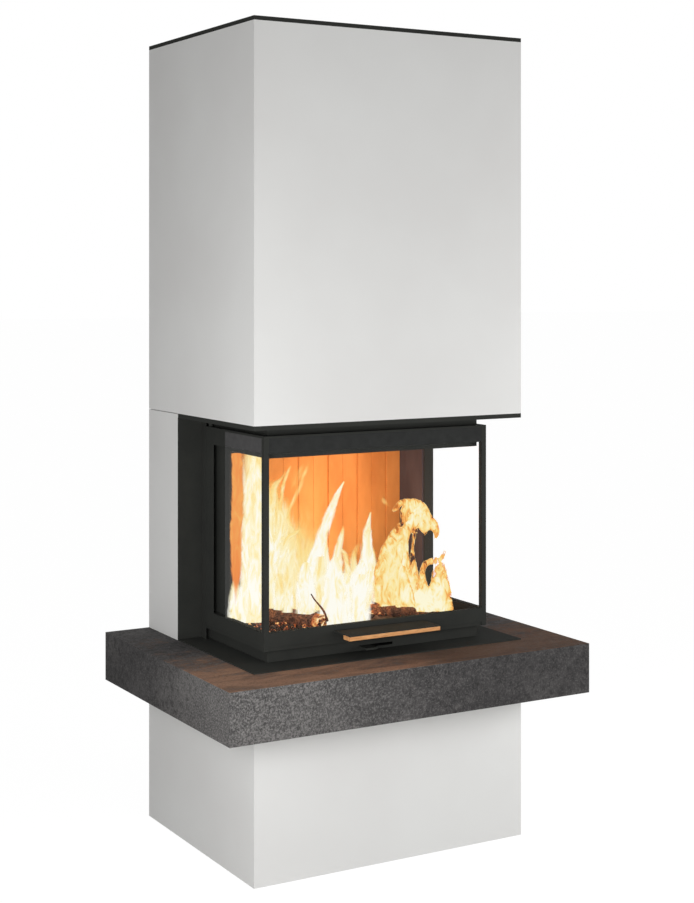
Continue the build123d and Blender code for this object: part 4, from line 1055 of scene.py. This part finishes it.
rim = ([c for c in range(wide)] + [wide * r + wide - 1 for r in range(1, DEEP_CELLS + 1)]
       + [upper - 1 - c for c in range(1, wide)] + [wide * r for r in range(DEEP_CELLS - 1, 0, -1)])
for first, second in zip(rim, rim[1:] + rim[:1]):
    faces.append((first, second, upper + second, upper + first))
ash_heap = added("ash_heap", tidied("ash_heap", points, faces, {}, "ash"))
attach(ash_heap, "grate")
print("ash heap faces:", len(ash_heap.data.polygons))

# %% Charcoal lumps
LUMP_RELIEF = 0.007
LUMP_DEEP, LUMP_TALL = 0.7, 0.62
FULL_TURN = 6.28

tree, given = recipe("charcoal_recipe", Count_density=9000.0, Smallest=0.0035, Largest=0.0085, Seed=7)
spots = one("DistributePointsOnFaces", Mesh=given["Geometry"], Density=given["Count_density"],
            Seed=given["Seed"])
lump = one("MeshIcoSphere", Radius=1.0, Subdivisions=2)
turned = one("RandomValue", {"data_type": "FLOAT_VECTOR"}, Max=(FULL_TURN, FULL_TURN, FULL_TURN),
             Seed=given["Seed"])
grade = put("RandomValue", Min=given["Smallest"], Max=given["Largest"],
            Seed=given["Seed"]).outputs["Value"]
stretch = one("CombineXYZ", X=grade, Y=times(grade, LUMP_DEEP), Z=times(grade, LUMP_TALL))
lumps = one("InstanceOnPoints", Points=spots, Instance=lump, Rotation=turned, Scale=stretch)
lumps = one("RealizeInstances", Geometry=lumps)
served(pushed(lumps, LUMP_RELIEF, Scale=170.0, Detail=2.0), "charcoal")

BED_LOW, BED_HIGH = (-0.105, -0.082), (0.105, 0.1)
BED_RISE, HEARTH_RISE = 0.011, 0.0045
bed = sheet(BED_LOW, BED_HIGH, GRATE_TOP + BED_RISE)
charcoal = grown("charcoal", tree, bed, faces=[(0, 1, 2, 3)])
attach(charcoal, "grate")
on_hearth = [(x, y, HEARTH_TOP + HEARTH_RISE) for x, y in (
    (-0.32, -0.12), (-0.145, -0.12), (-0.185, -0.03), (-0.25, 0.06), (-0.32, 0.06),
    (0.145, -0.125), (0.3, -0.135), (0.29, -0.07), (0.15, -0.03))]
loose_coals = grown("loose_coals", tree, on_hearth, faces=[(0, 1, 2, 3, 4), (5, 6, 7, 8)],
                    Count_density=4800.0, Smallest=0.0045, Largest=0.0105)
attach(loose_coals, "surround")

# %% [markdown]
# ## A charred stick
#
# One thin stick stands in the fire and leans against the left log. It is a bent path swept with a
# rough circle, thicker at the foot, in the same burning bark as the logs.

# %% Charred stick
STICK = ((-174, 755, 1.6), (-161, 736, 2.2), (-144, 717, 2.8), (-130, 698, 3.4), (-119, 670, 4.0))
STICK_Y = -0.112

tree, given = recipe("stick_recipe", Step=0.0015, Rough=0.003)
stick = swept(traced(given, bent=True), circle(16), Scale=read("width"))
served(pushed(stick, given["Rough"], Scale=260.0, Detail=3.0), "log_bark")
points, edges = path_through([(x / 1000, STICK_Y, z / 1000) for x, z, _ in STICK])
stick = grown("charred_stick", tree, points, edges, numbers={"width": [wide / 1000 for _, _, wide in STICK]})
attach(stick, "grate")

# %% [markdown]
# ## The braided seal
#
# A flat braid is glued inside the door at the bottom and the top, where it rubs along the fixed
# body on three sides. Its section is a rounded strip. Along the path the surface rises and falls in
# chevrons, because that is how the yarns of a braid cross.

# %% Seal
SEAL_X, SEAL_FRONT, SEAL_REAR, SEAL_CORNER = 0.36, -0.192, 0.158, 0.006
SEAL_HEIGHTS = (0.658, 1.201)
YARNS, YARN_RATE = 8.0, 130.0

tree, given = recipe("seal_recipe", Step=0.002, Tall=0.0116, Thick=0.0036, Lump=0.0005)
line = traced(given, corner=SEAL_CORNER)
line = keep(line, "run", put("SplineParameter").outputs["Length"])
line = one("SetCurveNormal", {"mode": "FREE"}, Curve=line, Normal=(0, 0, 1))
strip = one("CurvePrimitiveQuadrilateral", Width=given["Tall"], Height=given["Thick"])
strip = one("FilletCurve", {"mode": "POLY"}, Curve=strip, Radius=0.0016, Count=4)
strip = one("ResampleCurve", Curve=strip, Count=28)
strip = keep(strip, "round_it", put("SplineParameter").outputs["Factor"])
folded = reckon("PINGPONG", times(read("round_it"), YARNS), 1.0)
wave = reckon("PINGPONG", times(read("run"), YARN_RATE, plus=folded), 0.5)
lift = times(reckon("SUBTRACT", wave, 0.5), given["Lump"])
lift = vector("SCALE", one("InputNormal"), Scale=lift)
seal = one("SetPosition", Geometry=swept(line, strip), Offset=lift)
served(seal, "seal_rope", smooth=True)
points, edges = path_through(*[[(-SEAL_X, SEAL_REAR, z), (-SEAL_X, SEAL_FRONT, z), (SEAL_X, SEAL_FRONT, z),
                                (SEAL_X, SEAL_REAR, z)] for z in SEAL_HEIGHTS])
seals = grown("braided_seals", tree, points, edges)
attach(seals, "door")
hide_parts("door_seals")

# %% [markdown]
# ## The steel ropes
#
# Each rope has six strands laid round each other. The section is a ring with six lobes, and tilting
# it in step with the length winds the strands, one turn every 25 mm. The rope on the door side gets
# shorter as the door rises, the part over the pulley stays, and the part on the other side is paid
# out with the counterweight.

# %% Ropes
STRANDS, LOBE_DEPTH = 6, 0.24

tree, given = recipe("rope_recipe", Step=0.0015, Radius=0.002, Lay=0.025)
line = traced(given)
run = put("SplineParameter").outputs["Length"]
line = keep(line, "run", run)
winding = times(reckon("DIVIDE", run, given["Lay"]), math.tau)
line = one("SetCurveTilt", Curve=line, Tilt=winding)
share = put("SplineParameter").outputs["Factor"]
ring = keep(circle(36), "round_it", share)
lobe = reckon("ABSOLUTE", reckon("COSINE", times(share, STRANDS * math.pi)))
lobe = times(times(lobe, LOBE_DEPTH, plus=1 - LOBE_DEPTH), given["Radius"])
lobed = vector("SCALE", one("InputPosition"), Scale=lobe)
ring = one("SetPosition", Geometry=ring, Position=lobed)
served(swept(line, ring), "rope_wire", smooth=True)

ROPE_X, SHAFT_Y, SHAFT_Z, WINDING_RADIUS = 0.37, 0.205, 1.85, 0.05
ARC_STEPS = 24
LUG_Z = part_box("door_ropes")[0].z
WEIGHT_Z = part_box("weight_ropes")[0].z
DOOR_SIDE, WEIGHT_SIDE = SHAFT_Y - WINDING_RADIUS, SHAFT_Y + WINDING_RADIUS
turns = [math.pi * i / ARC_STEPS for i in range(ARC_STEPS + 1)]
runs = {"door_ropes": [(DOOR_SIDE, SHAFT_Z), (DOOR_SIDE, LUG_Z)],
        "rope_wraps": [(SHAFT_Y - WINDING_RADIUS * math.cos(turn), SHAFT_Z + WINDING_RADIUS * math.sin(turn))
                       for turn in turns],
        "weight_ropes": [(WEIGHT_SIDE, SHAFT_Z), (WEIGHT_SIDE, WEIGHT_Z)]}
for name, way in runs.items():
    points, edges = path_through(*[[(x, y, z) for y, z in way] for x in (-ROPE_X, ROPE_X)])
    piece = grown("wound_" + name, tree, points, edges)
    if name == "weight_ropes":
        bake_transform(piece)
    else:
        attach(piece, "surround")
    if name == "door_ropes":
        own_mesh(piece)
    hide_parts(name)

# %% [markdown]
# ## Screw heads
#
# The guide rails are screwed on from behind. One head is a low tapered button with a hexagon cut out
# of it, and the recipe sets it on every point of the guide, turned to face the wall.

# %% Screws
TAPER = 0.8

tree, given = recipe("screw_recipe", Radius=0.0052, Height=0.0026, Socket=0.0026)
crown = one("MeshCone", Vertices=24, Side_Segments=2, Depth=given["Height"],
            Radius_Bottom=given["Radius"], Radius_Top=times(given["Radius"], TAPER))
hexagon = one("MeshCylinder", Vertices=6, Radius=given["Socket"], Depth=given["Height"])
top = one("CombineXYZ", Z=given["Height"])
hexagon = one("Transform", Geometry=hexagon, Translation=top)
cut = put("MeshBoolean", {"solver": "EXACT"})
feed(cut, Mesh_1=crown, Mesh_2=hexagon)
heads = one("InstanceOnPoints", Points=given["Geometry"], Instance=cut.outputs[0],
            Rotation=(-math.pi / 2, 0, 0))
served(heads, "bare_steel")

RAIL_BACK, RAIL_MIDDLE = 0.201, 0.3675
FIRST_SCREW_Z, SCREW_STEP, SCREWS_A_SIDE = 0.62, 0.16, 8
holes = [(side * RAIL_MIDDLE, RAIL_BACK, FIRST_SCREW_Z + SCREW_STEP * i)
         for side in (-1, 1) for i in range(SCREWS_A_SIDE)]
screws = grown("rail_screws", tree, holes)
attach(screws, "surround")

# %% [markdown]
# ## Fire light
#
# The flames glow, but a flame drawn on thin sheets lights its room too little, so two warm lamps
# stand inside the fire. One faces the back wall, where the real fire paints the fireclay orange, and
# one shines down on the logs and the embers.

# %% Fire lamps
soft_lamp("fire_back_lamp", (0.05, -0.1, 0.92), (0.08, 0.3, 0.92), size=0.4, watts=1.46,
          colour=(1.0, 0.385, 0.115), spread=150)
soft_lamp("fire_bed_lamp", (-0.05, -0.06, 0.84), (-0.05, -0.05, 0.6), size=0.22, watts=0.35,
          colour=(1.0, 0.5, 0.2), spread=130)
